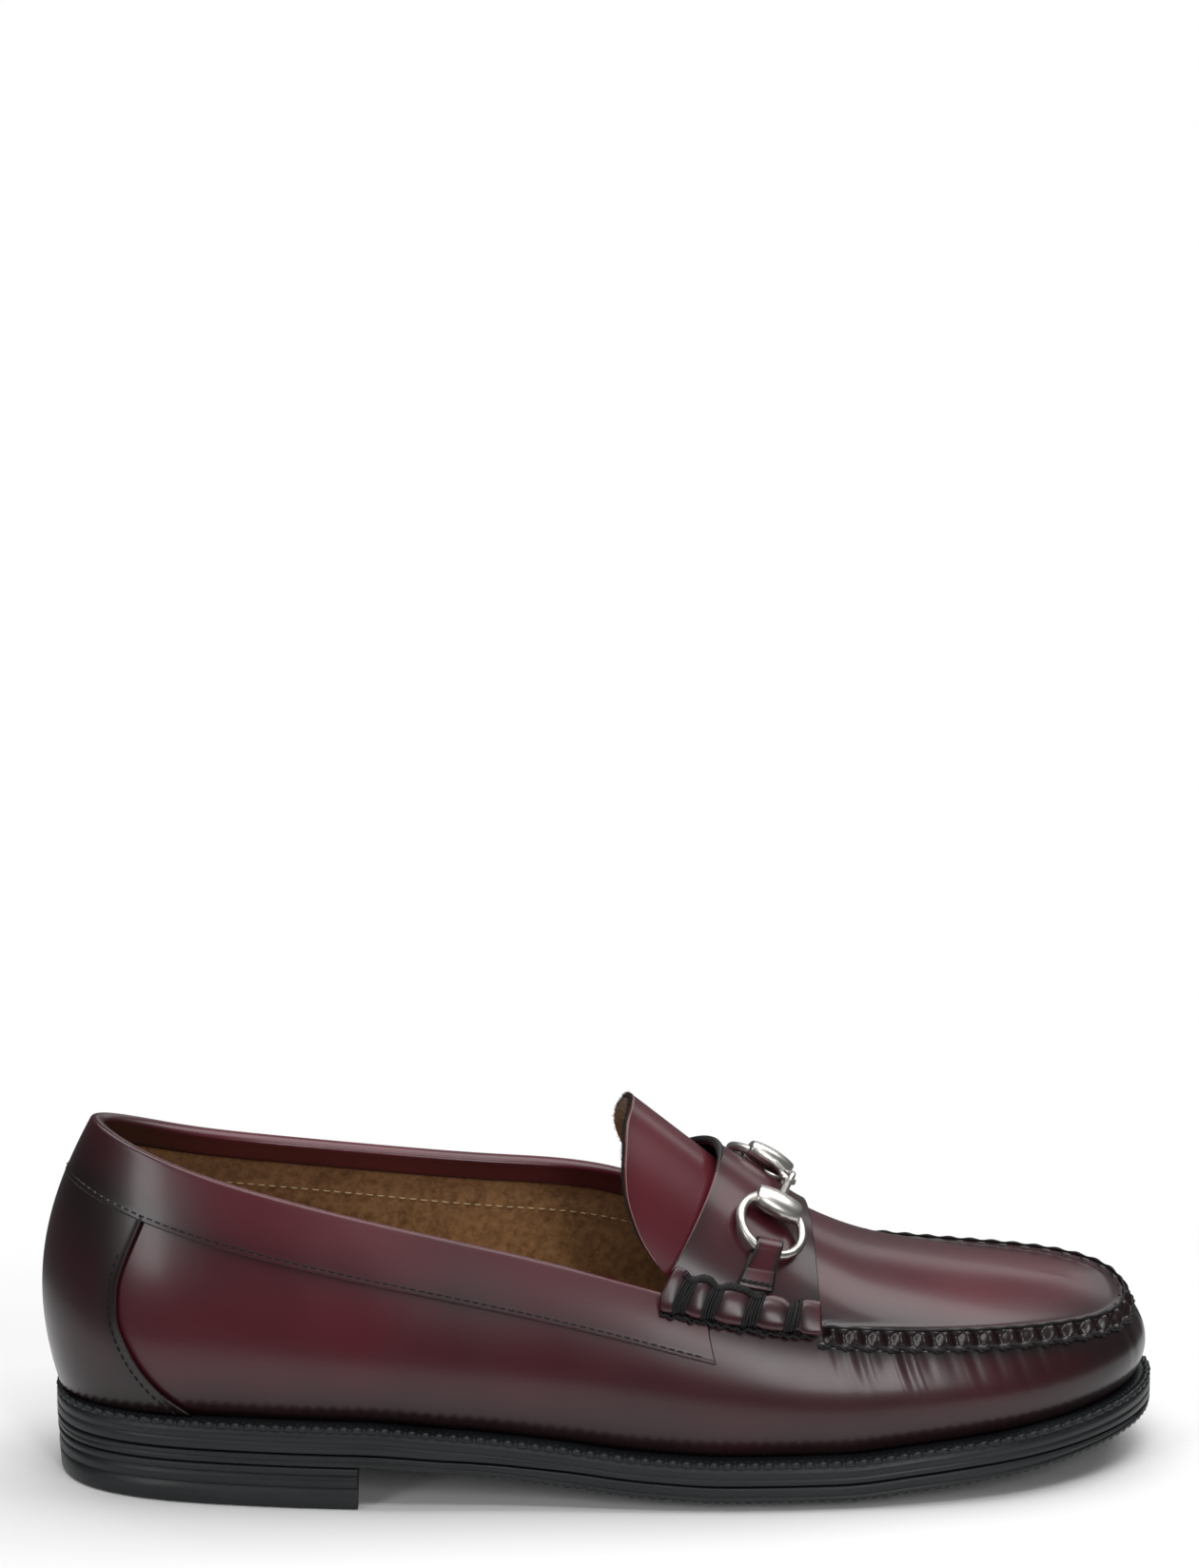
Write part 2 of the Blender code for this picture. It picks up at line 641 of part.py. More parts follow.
def upper_grids():
    """The upper's outer skin: the wall, with its lasting margin and the raised seam, and the
    plug that closes it over the toes."""
    places = PLUG_START + (7 - PLUG_START) * np.linspace(0.0, 1.0, PLUG_STATIONS + 1) ** 0.85
    outer, inner = seam_ends(places)
    outer[-1] = inner[-1] = TOE
    rear_outer, rear_inner = rear_stations()
    ring = np.concatenate([rear_outer[:-1], outer, inner[-2::-1], 1 + rear_inner[-2::-1]])
    heights = np.linspace(0.0, 1.0, WALL_ROWS + 1)
    seam_low = 1 - SEAM_WIDTH / 2 / 0.045
    heights = np.append(heights[heights < seam_low - 0.02], [seam_low, (seam_low + 1) / 2, 1.0])
    wall = wall_point(ring[:, None], heights[None, :])
    out = outward(ring)
    margin = wall[:, 0].copy()
    margin[:, :2] -= out * LASTING_MARGIN
    margin[:, 2] = sole_top(margin[:, 0]) + GAP
    angles = np.linspace(-np.pi / 2, np.pi / 2, PLUG_COLUMNS_ACROSS + 1)
    ends = np.radians(90.0) - np.radians(5.0)
    angles = np.concatenate([[-np.pi / 2], [-ends], angles[1:-1], [ends], [np.pi / 2]])
    plug = plug_point(places[:, None], angles[None, :])
    size = wall_section(ring)
    ahead = size["top_x"] + HEEL_LENGTH / 2 - ROLL_FRONT * SOLE_LENGTH
    rise = SEAM_RISE * np.clip(ahead / 0.004, 0, 1)
    lean = normal_of(wall_point, ring, np.ones(len(ring)))
    lean[:, 2] += 0.8
    lean /= np.linalg.norm(lean, axis=1, keepdims=True)
    wall[:, -1] += lean * rise[:, None]
    wall[:, -2] += lean * rise[:, None] * 0.75
    count = REAR_STATIONS
    plug[:, 0] = wall[count : count + len(places), -1]
    plug[:, -1] = wall[::-1][count : count + len(places), -1]
    plug[:, 1] += lean[count : count + len(places)] * rise[count : count + len(places), None] * 0.6
    back = lean[::-1][count : count + len(places)] * rise[::-1][count : count + len(places), None]
    plug[:, -2] += back * 0.6
    return np.concatenate([margin[:, None], wall], 1), plug


def make_upper(collection, leather):
    """The upper: one hollow skin, open at the collar and the throat and under the insole."""
    wall, plug = upper_grids()
    return sheet("upper", [wall, plug], WALL, collection, leather)


def collar_low(around):
    """Height up the wall of the collar's lower seam."""
    near, top = wall_point(around, np.full(np.shape(around), 0.999)), wall_point(around, np.ones(np.shape(around)))
    return 1 - COLLAR_WIDTH / (np.linalg.norm(top - near, axis=-1) / 0.001)


def make_collar(collection, leather):
    """The collar: a strip folded over the topline, in one piece round the heel, with a flat
    tail on each side that runs on under the beef roll."""
    fold_x = ROLL_REAR * SOLE_LENGTH - HEEL_LENGTH / 2 - 0.002
    tail_x = COLLAR_END * SOLE_LENGTH - HEEL_LENGTH / 2
    first, last = seam_place(fold_x, "outer"), seam_place(fold_x, "inner") - 1
    outer, inner = rear_stations()
    outer, inner = outer[outer < first - 0.004], inner[inner > last + 0.004]
    around = np.concatenate([[last], inner[::-1], outer[1:], [first]])
    outside = (0.0, 0.33, 0.66, 0.94)
    lift = GAP + COLLAR_LEATHER
    low = collar_low(around)
    rows = [wall_lifted(around, low + (1 - low) * t, lift) for t in outside]
    top = wall_point(around, np.ones(len(around)))
    out = normal_of(wall_point, around, np.ones(len(around)))
    rise = top - wall_point(around, np.full(len(around), 0.99))
    rise /= np.linalg.norm(rise, axis=-1, keepdims=True)
    fold = ((1.0, 0.0), (0.7, 0.7), (0.0, 1.0), (0.0, 1.0), (-0.7, 0.7), (-1.0, 0.0))
    for k, (across, up) in enumerate(fold):
        middle = top - out * (WALL if k > 2 else 0.0)
        rows.append(middle + (out * across + rise * up) * lift)
    turned = COLLAR_TURN_IN / COLLAR_WIDTH
    inside = -(WALL + lift)
    rows += [wall_lifted(around, 1 - (1 - low) * turned * t, inside) for t in (0.5, 1.0)]
    grids = [np.stack(rows, 1)]
    for ends in ((first, seam_place(tail_x, "outer")), (seam_place(tail_x, "inner") - 1, last)):
        around = np.linspace(*ends, 4)
        low = collar_low(around)
        tail = [wall_lifted(around, low + (1 - low) * t, lift) for t in outside]
        grids.append(np.stack(tail, 1))
    return sheet("collar_band", grids, COLLAR_LEATHER, collection, leather)


def make_counter(collection, leather):
    """The heel counter: a patch outside the wall, from the sole to the collar."""
    heights = np.array(COUNTER_HEIGHT)
    edge = np.array(COUNTER_EDGE)
    side = np.linspace(-1.0, 1.0, 23)
    around = side[:, None] * edge[None, :]
    top = collar_low(around) - 0.006
    points = wall_lifted(around, 0.012 + (top - 0.012) * heights[None, :], 1.5 * GAP + COUNTER_LEATHER)
    return sheet("heel_counter", [points], COUNTER_LEATHER, collection, leather)


def make_strap(collection, leather):
    """The saddle strap over the instep, its ends under the beef rolls."""
    places = np.linspace(0.0, STRAP_FRONT, 7)
    tucked = [ROLL_RAISE + 0.82 * roll_reach(place) for place in places]
    first = np.array([angle_from_seam(*pair) for pair in zip(places, ["outer"] * 7, tucked)])
    last = np.array([angle_from_seam(*pair) for pair in zip(places, ["inner"] * 7, tucked)])
    share = np.linspace(0.0, 1.0, 19)
    angles = first[:, None] * (1 - share) + last[:, None] * share
    points = plug_lifted(places[:, None], angles, GAP + STRAP_LEATHER)
    return sheet("saddle_strap", [points], STRAP_LEATHER, collection, leather)


def make_tongue(collection, leather):
    """The tongue: a sheet that follows the plug's inside and runs on straight, up and back."""
    angles = np.radians(np.linspace(-84.0, 84.0, 17))
    below = -(WALL + 3 * GAP)
    hidden = [plug_lifted(np.full(17, place), angles, below) for place in (2.0, 1.5, 1.0, PLUG_START + 0.1)]
    degrees = np.abs(np.degrees(angles))
    length = TONGUE_LENGTH * smooth_through(degrees, TONGUE_EDGE_DEGREES, TONGUE_EDGE_SHARE)
    length *= 1 - TONGUE_FAR_SHARE * np.clip(angles / np.radians(30.0), 0.0, 1.0)
    slope = np.array([-np.cos(TONGUE_SLOPE), 0.0, np.sin(TONGUE_SLOPE)])
    free = [hidden[-1] + slope * length[:, None] * t for t in (0.2, 0.4, 0.6, 0.8, 1.0)]
    points = np.stack(hidden + free, 0)[::-1]
    return sheet("tongue", [points], TONGUE_LEATHER, collection, leather)


def make_roll(name, side, collection, leather):
    """One beef roll: a padded roll along the seam, drawn in by its bindings."""
    start, end = roll_places()
    shares = np.linspace(0.0, 1.0, 25)
    turn = np.linspace(0.0, 2 * np.pi, 12, endpoint=False)
    rings = []
    for share in shares:
        near = min(abs(share - binding) for binding in ROLL_BINDINGS)
        puff = 1 - ROLL_NECK * np.exp(-((near / 0.035) ** 2))
        half = ROLL_HEIGHT / 2 * puff
        middle = 2 * GAP + COLLAR_LEATHER + ROLL_HEIGHT / 2
        place = start + (end - start) * share
        reach = roll_reach(place) * puff
        ring = [
            beside_seam(place, side, ROLL_RAISE + reach * np.cos(t), middle + half * np.sin(t))
            for t in turn
        ]
        rings.append(ring)
    return tube(name, np.array(rings), collection, leather)


def strap_frame(side, place, angle, lift):
    """Axes on the strap: along the shoe, across towards the ridge, and up."""
    sign = -1.0 if side == "outer" else 1.0
    height = GAP + STRAP_LEATHER + lift
    spot = plug_lifted(place, sign * angle, height)
    ahead = plug_lifted(place + 0.01, sign * angle, height)
    up = normal_of(plug_point, np.array(place), np.array(sign * angle))
    along = ahead - spot
    along -= up * (along @ up)
    along /= np.linalg.norm(along)
    across = np.cross(up, along)
    return spot, along, across * -sign, up


def frame_matrix(spot, x_axis, y_axis, z_axis):
    """A 4 by 4 matrix from a place and three axes."""
    matrix = Matrix.Identity(4)
    for row in range(3):
        matrix[row][0], matrix[row][1] = float(x_axis[row]), float(y_axis[row])
        matrix[row][2], matrix[row][3] = float(z_axis[row]), float(spot[row])
    return matrix


def placed_torus(name, radius, wire, fine, matrix, collection, material):
    """A ring of round wire in a frame's level plane."""
    bpy.ops.mesh.primitive_torus_add(
        major_radius=radius, minor_radius=wire, major_segments=fine[0], minor_segments=fine[1]
    )
    return placed(name, matrix, collection, material)


def placed(name, matrix, collection, material):
    """Names the new primitive, moves its mesh by a matrix and puts it into the collection."""
    obj = bpy.context.object
    obj.name = name
    obj.data.name = name
    obj.data.transform(matrix)
    if matrix.determinant() < 0:
        obj.data.flip_normals()
    obj.data.materials.append(material)
    for old in list(obj.users_collection):
        old.objects.unlink(obj)
    collection.objects.link(obj)
    return obj


def make_bit(side, name, collection, metal):
    """One half of the bit: ring, shell, neck and the loop that links it to the other half."""
    spot, along, across, up = strap_frame(side, RING_PLACE, RING_ANGLE[side], RING_LIFT)
    matrix = frame_matrix(spot, along, across, up)
    ring = placed_torus(name, RING_RADIUS, RING_WIRE, (26, 8), matrix, collection, metal)
    shell_spot = spot + across * (RING_RADIUS - 0.0007) + up * 0.0002
    bpy.ops.mesh.primitive_cube_add(size=1.0)
    size = Matrix.Diagonal((*SHELL_SIZE, 1.0))
    shell = placed(name + " shell", frame_matrix(shell_spot, along, across, up) @ size, collection, metal)
    edge = shell.modifiers.new("Rounding", "BEVEL")
    edge.width = 0.0019
    edge.segments = 2
    centre, centre_along, _, centre_up = strap_frame("outer", LOOP_PLACE, 0.0, LOOP_LIFT)
    sign = -1.0 if side == "outer" else 1.0
    axis = np.array([0.0, sign, 0.0])
    loop_spot = centre + axis * LOOP_RADIUS / 2
    cross_axis = np.cross(axis, centre_up)
    axes = (axis, centre_up, cross_axis) if side == "outer" else (cross_axis, axis, centre_up)
    loop_matrix = frame_matrix(loop_spot, *axes)
    loop = placed_torus(name + " loop", LOOP_RADIUS, LOOP_WIRE, (16, 8), loop_matrix, collection, metal)
    near = loop_spot + axis * (LOOP_RADIUS + LOOP_WIRE * 0.2)
    far = shell_spot
    line = far - near
    length = np.linalg.norm(line)
    line /= length
    side_axis = np.cross(centre_up, line)
    side_axis /= np.linalg.norm(side_axis)
    up_axis = np.cross(line, side_axis)
    turn = np.linspace(0.0, 2 * np.pi, 10, endpoint=False)
    rings = []
    for share, wide in ((0.0, 0.55), (0.12, 0.8), (0.5, 0.9), (1.0, 1.15)):
        circle = np.cos(turn)[:, None] * side_axis + np.sin(turn)[:, None] * up_axis
        rings.append(near + line * length * share + circle * NECK_WIRE * wide)
    neck = tube(name + " neck", np.array(rings), collection, metal)
    return joined(name, [ring, shell, neck, loop], collection, metal)


def make_tab(name, side, collection, leather):
    """A keeper: a leather tab from under the beef roll, up round the ring and back down."""
    sign = -1.0 if side == "outer" else 1.0
    spot, along, across, up = strap_frame(side, RING_PLACE, RING_ANGLE[side], RING_LIFT)
    wire = spot - across * RING_RADIUS
    angles = sign * np.radians(np.linspace(89.0, 15.0, 200))
    skin = plug_lifted(np.full(200, RING_PLACE), angles, GAP + STRAP_LEATHER)
    nearest = int(np.argmin(np.linalg.norm(skin - wire, axis=1)))
    height = float(np.linalg.norm(skin[nearest] - wire))
    run = np.cumsum(np.linalg.norm(np.diff(plug_point(np.full(200, RING_PLACE), angles), axis=0), axis=1))
    start = ROLL_RAISE + roll_reach(RING_PLACE) + GAP
    bottom = float(run[max(nearest - 1, 0)])
    round_wire = RING_WIRE + 2 * GAP + TAB_LEATHER / 2
    sagitta = RING_RADIUS - np.sqrt(RING_RADIUS**2 - (TAB_WIDTH / 2) ** 2)
    low = height - round_wire
    profile = [(start, GAP + TAB_LEATHER / 2), ((start + bottom) / 2, (low + GAP + TAB_LEATHER / 2) / 2)]
    profile.append((bottom, low))
    profile += [
        (bottom + sagitta + round_wire * np.sin(t), height - round_wire * np.cos(t))
        for t in np.radians(np.linspace(0.0, 180.0, 9))
    ]
    profile.append((bottom, height + round_wire))
    second = 2 * GAP + TAB_LEATHER * 1.5
    profile += [((start + bottom) / 2, second + 0.0006), (start, second)]
    step = float(np.linalg.norm(plug_point(RING_PLACE + 0.01, -1.0) - plug_point(RING_PLACE, -1.0))) / 0.01
    rows = []
    for distance, lift in profile:
        row = [
            beside_seam(RING_PLACE + TAB_WIDTH * t / step, side, distance, GAP + STRAP_LEATHER + lift)
            for t in (-0.5, -0.17, 0.17, 0.5)
        ]
        rows.append(row)
    return sheet(name, [np.array(rows)], TAB_LEATHER, collection, leather, 0.0)


def build():
    """Every piece of the shoe, in the order in which it is put together."""
    clear_scene()
    shoe = new_collection("bit_loafer")
    leather = new_material("burgundy box leather", LEATHER, 0.25)
    rubber = new_material("black rubber", RUBBER, 0.55)
    suede = new_material("brown suede", SUEDE, 0.9)
    metal = new_material("aged silver metal", STEEL, 0.3, 1.0)
    make_sole(shoe, rubber)
    make_insole(shoe, suede)
    make_upper(shoe, leather)
    make_tongue(shoe, leather)
    make_counter(shoe, leather)
    make_collar(shoe, leather)
    make_strap(shoe, leather)
    for side, word in (("outer", "lateral"), ("inner", "medial")):
        make_roll("beef_roll_" + word, side, shoe, leather)
        make_bit(side, "bit_" + word, shoe, metal)
        make_tab("keeper_" + word, side, shoe, leather)


build()
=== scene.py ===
"""The looks of a right-foot bit loafer in burgundy leather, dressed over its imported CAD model.

Metres; +X to the toe, +Y to the inner side of the foot, +Z up, origin on the floor under the heel."""

import bmesh
import bpy
import numpy as np
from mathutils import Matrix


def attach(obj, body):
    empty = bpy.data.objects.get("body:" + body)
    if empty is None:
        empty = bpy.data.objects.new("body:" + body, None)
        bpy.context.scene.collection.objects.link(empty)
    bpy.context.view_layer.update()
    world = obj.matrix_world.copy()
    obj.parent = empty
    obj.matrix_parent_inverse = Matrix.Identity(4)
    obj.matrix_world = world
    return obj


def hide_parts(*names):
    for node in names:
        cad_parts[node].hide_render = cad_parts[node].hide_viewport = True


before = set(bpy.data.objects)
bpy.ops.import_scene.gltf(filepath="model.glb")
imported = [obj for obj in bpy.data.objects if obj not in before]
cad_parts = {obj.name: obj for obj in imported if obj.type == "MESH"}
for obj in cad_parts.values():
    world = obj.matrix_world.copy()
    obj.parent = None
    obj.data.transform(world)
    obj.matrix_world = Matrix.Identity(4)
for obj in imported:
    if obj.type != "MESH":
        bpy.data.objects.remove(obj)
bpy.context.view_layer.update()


# The studio: a white paper sweep under a broad softbox, with two panels and a strip in front and a
# faint panel behind, as shoes are shot for a shop. The camera stands 1.2 m off the outer side with
# a 102 mm lens.

def linear(hex_colour):
    """An sRGB hex colour as linear RGBA: the low end divided by 12.92, the rest by the 2.4 power."""
    srgb = np.array([int(hex_colour[i : i + 2], 16) for i in (1, 3, 5)]) / 255
    values = np.where(srgb <= 0.04045, srgb / 12.92, ((srgb + 0.055) / 1.055) ** 2.4)
    return (*map(float, values), 1.0)


def set_stops(elements, stops):
    """Sets a colour ramp's stops: each is a place and a hex colour."""
    while len(elements) < len(stops):
        elements.new(0.5)
    for element, (place, colour) in zip(elements, stops):
        element.position = place
        element.color = linear(colour)


def node(tree, kind, settings=None, links=None, feeds=None):
    """Adds a node: settings are its properties, its input values or a ramp's stops, links are its
    inputs' sources, and feeds is the socket that its first output goes to."""
    made = tree.nodes.new(kind)
    for name, value in (settings or {}).items():
        if name == "stops":
            set_stops(made.color_ramp.elements, value)
        elif isinstance(name, str) and hasattr(made, name):
            setattr(made, name, value)
        else:
            made.inputs[name].default_value = value
    for name, source in (links or {}).items():
        tree.links.new(source, made.inputs[name])
    if feeds is not None:
        tree.links.new(made.outputs[0], feeds)
    return made


def new_material(name, colour, roughness, **sockets):
    """A Principled BSDF; other sockets by name, with underscores for spaces."""
    made = bpy.data.materials.new(name)
    made.use_nodes = True
    shader = made.node_tree.nodes["Principled BSDF"]
    shader.inputs["Base Color"].default_value = linear(colour)
    shader.inputs["Roughness"].default_value = roughness
    for socket, value in sockets.items():
        shader.inputs[socket.replace("_", " ")].default_value = value
    return made, made.node_tree, shader


LENS_MM = 101.6
SENSOR_MM = 36.0
CAMERA_TURN, CAMERA_PITCH = np.radians(-2.5), np.radians(13.5)
CAMERA_PLACE = (0.05665, -1.12946, 0.45788)

camera_data = bpy.data.cameras.new("camera")
camera_data.sensor_fit = "VERTICAL"
camera_data.sensor_height = SENSOR_MM
camera_data.lens = LENS_MM
camera_data.clip_start = 0.05
camera = bpy.data.objects.new("camera", camera_data)
camera.location = CAMERA_PLACE
camera.rotation_euler = (np.pi / 2 - CAMERA_PITCH, 0.0, CAMERA_TURN)
bpy.context.scene.collection.objects.link(camera)
bpy.context.scene.camera = camera


def softbox(name, place, target, size, power):
    """An area light that faces a target."""
    data = bpy.data.lights.new(name, "AREA")
    data.shape = "RECTANGLE"
    data.size, data.size_y = size
    data.energy = power
    obj = bpy.data.objects.new(name, data)
    away = np.array(place) - np.array(target)
    obj.location = place
    heading = np.arctan2(away[0], -away[1])
    obj.rotation_euler = (np.arctan2(np.hypot(away[0], away[1]), away[2]), 0.0, heading)
    bpy.context.scene.collection.objects.link(obj)


LIGHT_COLUMNS = ("name", "place", "target", "size", "power")
LIGHTS = (
    ("overhead softbox", (0.45, 0.25, 1.20), (0.45, 0.20, 0.05), (1.9, 0.9), 19.0),
    ("left panel", (-0.95, -1.05, 0.75), (0.05, 0.0, 0.06), (0.34, 0.8), 5.4),
    ("right panel", (0.50, -1.30, 0.62), (0.14, 0.0, 0.05), (0.22, 0.7), 5.0),
    ("front strip", (0.22, -0.55, 1.15), (0.12, 0.0, 0.06), (0.7, 0.20), 4.0),
    ("back panel", (0.50, 1.10, 0.54), (0.17, 0.0, 0.06), (0.9, 0.26), 0.9),
)
ROOM_LIGHT = 0.12

for row in LIGHTS:
    softbox(**dict(zip(LIGHT_COLUMNS, row)))

world = bpy.data.worlds.new("white studio")
world.use_nodes = True
background = world.node_tree.nodes["Background"]
background.inputs["Color"].default_value = (1.0, 1.0, 1.0, 1.0)
seen = node(world.node_tree, "ShaderNodeLightPath").outputs["Is Camera Ray"]
node(
    world.node_tree, "ShaderNodeMapRange",
    {"From Min": 0.0, "From Max": 1.0, "To Min": ROOM_LIGHT, "To Max": 1.0},
    {"Value": seen}, background.inputs["Strength"],
)
bpy.context.scene.world = world
bpy.context.scene.view_settings.view_transform = "Standard"

FLOOR_CENTRE = (0.108, 0.0, 0.0)
FLOOR_REACH = (0.26, 0.11, 1.0)
FLOOR_FADE = 1.8


def paper_material():
    """White matt paper that thins out to nothing away from the shoe, so that no horizon shows:
    the oval distance from the centre is 1 where it starts to thin."""
    made, tree, shader = new_material("white paper sweep", "#e6e6e6", 0.9)
    where = node(tree, "ShaderNodeTexCoord").outputs["Object"]
    shifted = node(
        tree, "ShaderNodeVectorMath", {"operation": "SUBTRACT", 1: FLOOR_CENTRE}, {0: where}
    )
    oval = node(
        tree, "ShaderNodeVectorMath", {"operation": "DIVIDE", 1: FLOOR_REACH}, {0: shifted.outputs[0]}
    )
    away = node(tree, "ShaderNodeVectorMath", {"operation": "LENGTH"}, {0: oval.outputs[0]})
    thin = node(
        tree, "ShaderNodeMapRange",
        {"interpolation_type": "SMOOTHSTEP", "From Min": 1.0, "From Max": FLOOR_FADE},
        {"Value": away.outputs["Value"]},
    )
    clear = node(tree, "ShaderNodeBsdfTransparent")
    node(
        tree, "ShaderNodeMixShader", None,
        {"Fac": thin.outputs[0], 1: shader.outputs[0], 2: clear.outputs[0]},
        tree.nodes["Material Output"].inputs["Surface"],
    )
    return made


bpy.ops.mesh.primitive_plane_add(size=3.0)
floor = bpy.context.object
floor.name = "paper_floor"
floor.data.materials.append(paper_material())


# The sole: three layers of moulded black rubber, cemented together. The tread and the midsole run
# heel to toe with a groove between them; the heel block is scored to look like stacked lifts.
# The midsole's top is the welt, a ledge with a wheeled, scalloped edge round the upper's foot.

SOLE_LENGTH = 0.297
BALL_WIDTH = 0.100
BACK_HEIGHT = 0.0961
INSTEP_HEIGHT = 0.0845
HEEL_LENGTH = 0.081
HEEL_BLOCK = 0.0122
OUTSOLE = 0.0036
MIDSOLE = 0.0075
TOE_SPRING = 0.0096
SOLE_CROWN = 0.0024
SOLE_SWELL = 0.0012
GAP = 0.0003

WALL_COLUMNS = ("sole_x", "sole_y", "inset", "top_x", "top_y", "top_z", "low", "high")
WALL_SECTIONS = (
    (0.0000, 0.000, 0.020, 0.0400, 0.000, 1.000, 0.076, 0.142),
    (0.0205, -0.185, 0.036, 0.0690, -0.120, 0.965, 0.088, 0.110),
    (0.0673, -0.285, 0.046, 0.1150, -0.188, 0.916, 0.094, 0.104),
    (0.1515, -0.355, 0.050, 0.1850, -0.244, 0.857, 0.088, 0.102),
    (0.2860, -0.408, 0.050, 0.2960, -0.278, 0.771, 0.075, 0.103),
    (0.4210, -0.424, 0.052, 0.4110, -0.299, 0.689, 0.065, 0.103),
    (0.5556, -0.452, 0.055, 0.5286, -0.328, 0.596, 0.058, 0.100),
    (0.6667, -0.460, 0.055, 0.6400, -0.345, 0.506, 0.055, 0.085),
    (0.7740, -0.436, 0.055, 0.7475, -0.336, 0.465, 0.055, 0.080),
    (0.8690, -0.377, 0.052, 0.8430, -0.298, 0.450, 0.055, 0.080),
    (0.9390, -0.272, 0.048, 0.9170, -0.215, 0.438, 0.052, 0.080),
    (0.9830, -0.136, 0.045, 0.9590, -0.108, 0.434, 0.048, 0.078),
    (1.0000, 0.030, 0.043, 0.9715, 0.025, 0.448, 0.045, 0.078),
    (0.9850, 0.200, 0.045, 0.9590, 0.140, 0.466, 0.048, 0.080),
    (0.9390, 0.345, 0.048, 0.9170, 0.238, 0.477, 0.052, 0.083),
    (0.8586, 0.464, 0.052, 0.8330, 0.315, 0.482, 0.055, 0.085),
    (0.7475, 0.533, 0.055, 0.7306, 0.365, 0.500, 0.055, 0.090),
    (0.6400, 0.520, 0.055, 0.6296, 0.372, 0.562, 0.050, 0.095),
    (0.5320, 0.415, 0.055, 0.5219, 0.352, 0.700, 0.050, 0.085),
    (0.4110, 0.322, 0.052, 0.4040, 0.306, 0.767, 0.060, 0.083),
    (0.2795, 0.338, 0.050, 0.2896, 0.278, 0.810, 0.075, 0.093),
    (0.1515, 0.350, 0.050, 0.1818, 0.244, 0.859, 0.088, 0.102),
    (0.0673, 0.290, 0.046, 0.1150, 0.188, 0.908, 0.094, 0.104),
    (0.0200, 0.185, 0.036, 0.0690, 0.120, 0.959, 0.088, 0.110),
)
TOE_SECTION = 12


def smooth_through(x, xs, ys):
    """A curve through points that never overshoots them: cubic pieces whose slope at a point is
    the harmonic mean of the slopes on its two sides."""
    xs, ys = np.asarray(xs, float), np.asarray(ys, float)
    slopes = np.diff(ys) / np.diff(xs)
    inner = np.zeros(len(xs))
    same = slopes[1:] * slopes[:-1] > 0
    inner[1:-1][same] = 2 / (1 / slopes[1:][same] + 1 / slopes[:-1][same])
    inner[0], inner[-1] = slopes[0], slopes[-1]
    x = np.clip(x, xs[0], xs[-1])
    i = np.clip(np.searchsorted(xs, x, side="right") - 1, 0, len(xs) - 2)
    step = xs[i + 1] - xs[i]
    t = (x - xs[i]) / step
    return (
        ys[i] * (1 + 2 * t) * (1 - t) ** 2
        + inner[i] * step * t * (1 - t) ** 2
        + ys[i + 1] * t**2 * (3 - 2 * t)
        + inner[i + 1] * step * t**2 * (t - 1)
    )


def closed_spline(knots, values, around):
    """A closed cubic spline: its bends at the knots solve a ring of equations that keep the slope
    and the bend continuous."""
    count = len(knots)
    gaps = np.diff(np.append(knots, 1.0))
    matrix, right = np.zeros((count, count)), np.zeros(values.shape)
    for i in range(count):
        before, after = (i - 1) % count, (i + 1) % count
        matrix[i, before] += gaps[before]
        matrix[i, i] += 2 * (gaps[before] + gaps[i])
        matrix[i, after] += gaps[i]
        right[i] = 6 * (values[after] - values[i]) / gaps[i]
        right[i] -= 6 * (values[i] - values[before]) / gaps[before]
    bend = np.linalg.solve(matrix, right)
    around = np.mod(around, 1.0)
    i = np.clip(np.searchsorted(knots, around, side="right") - 1, 0, count - 1)
    j = (i + 1) % count
    gap = gaps[i][..., None]
    t = (around - knots[i])[..., None]
    return (
        (bend[i] * (gap - t) ** 3 + bend[j] * t**3) / (6 * gap)
        + (values[i] / gap - bend[i] * gap / 6) * (gap - t)
        + (values[j] / gap - bend[j] * gap / 6) * t
    )


scales = np.array([SOLE_LENGTH, BALL_WIDTH, BALL_WIDTH, SOLE_LENGTH, BALL_WIDTH, BACK_HEIGHT])
WALL_SIZES = np.array(WALL_SECTIONS) * np.concatenate([scales, [BALL_WIDTH, BALL_WIDTH]])
WALL_SIZES[:, (0, 3)] -= HEEL_LENGTH / 2
edge_steps = np.linalg.norm(np.roll(WALL_SIZES[:, :2], -1, axis=0) - WALL_SIZES[:, :2], axis=1)
WALL_KNOTS = np.concatenate([[0.0], np.cumsum(edge_steps)[:-1]]) / edge_steps.sum()
TOE = WALL_KNOTS[TOE_SECTION]


def wall_section(around):
    """The wall's named sizes at each place around the shoe: 0 at the heel's back, rising along
    the outer side to the toe and back along the inner side to 1."""
    values = closed_spline(WALL_KNOTS, WALL_SIZES, np.asarray(around, float))
    return {name: values[..., i] for i, name in enumerate(WALL_COLUMNS)}


def outward(around):
    """The level unit direction out of the sole's edge: its tangent turned a quarter."""
    small = 1e-4
    ahead, behind = wall_section(around + small), wall_section(around - small)
    along = np.stack([ahead["sole_x"] - behind["sole_x"], ahead["sole_y"] - behind["sole_y"]], -1)
    along /= np.linalg.norm(along, axis=-1, keepdims=True)
    return np.stack([along[..., 1], -along[..., 0]], -1)


def length_share(x):
    """A place along the shoe as a share of the sole's length, 0 at its back."""
    return (x + HEEL_LENGTH / 2) / SOLE_LENGTH


def place_at(share):
    """The place along the shoe at a share of the sole's length."""
    return share * SOLE_LENGTH - HEEL_LENGTH / 2


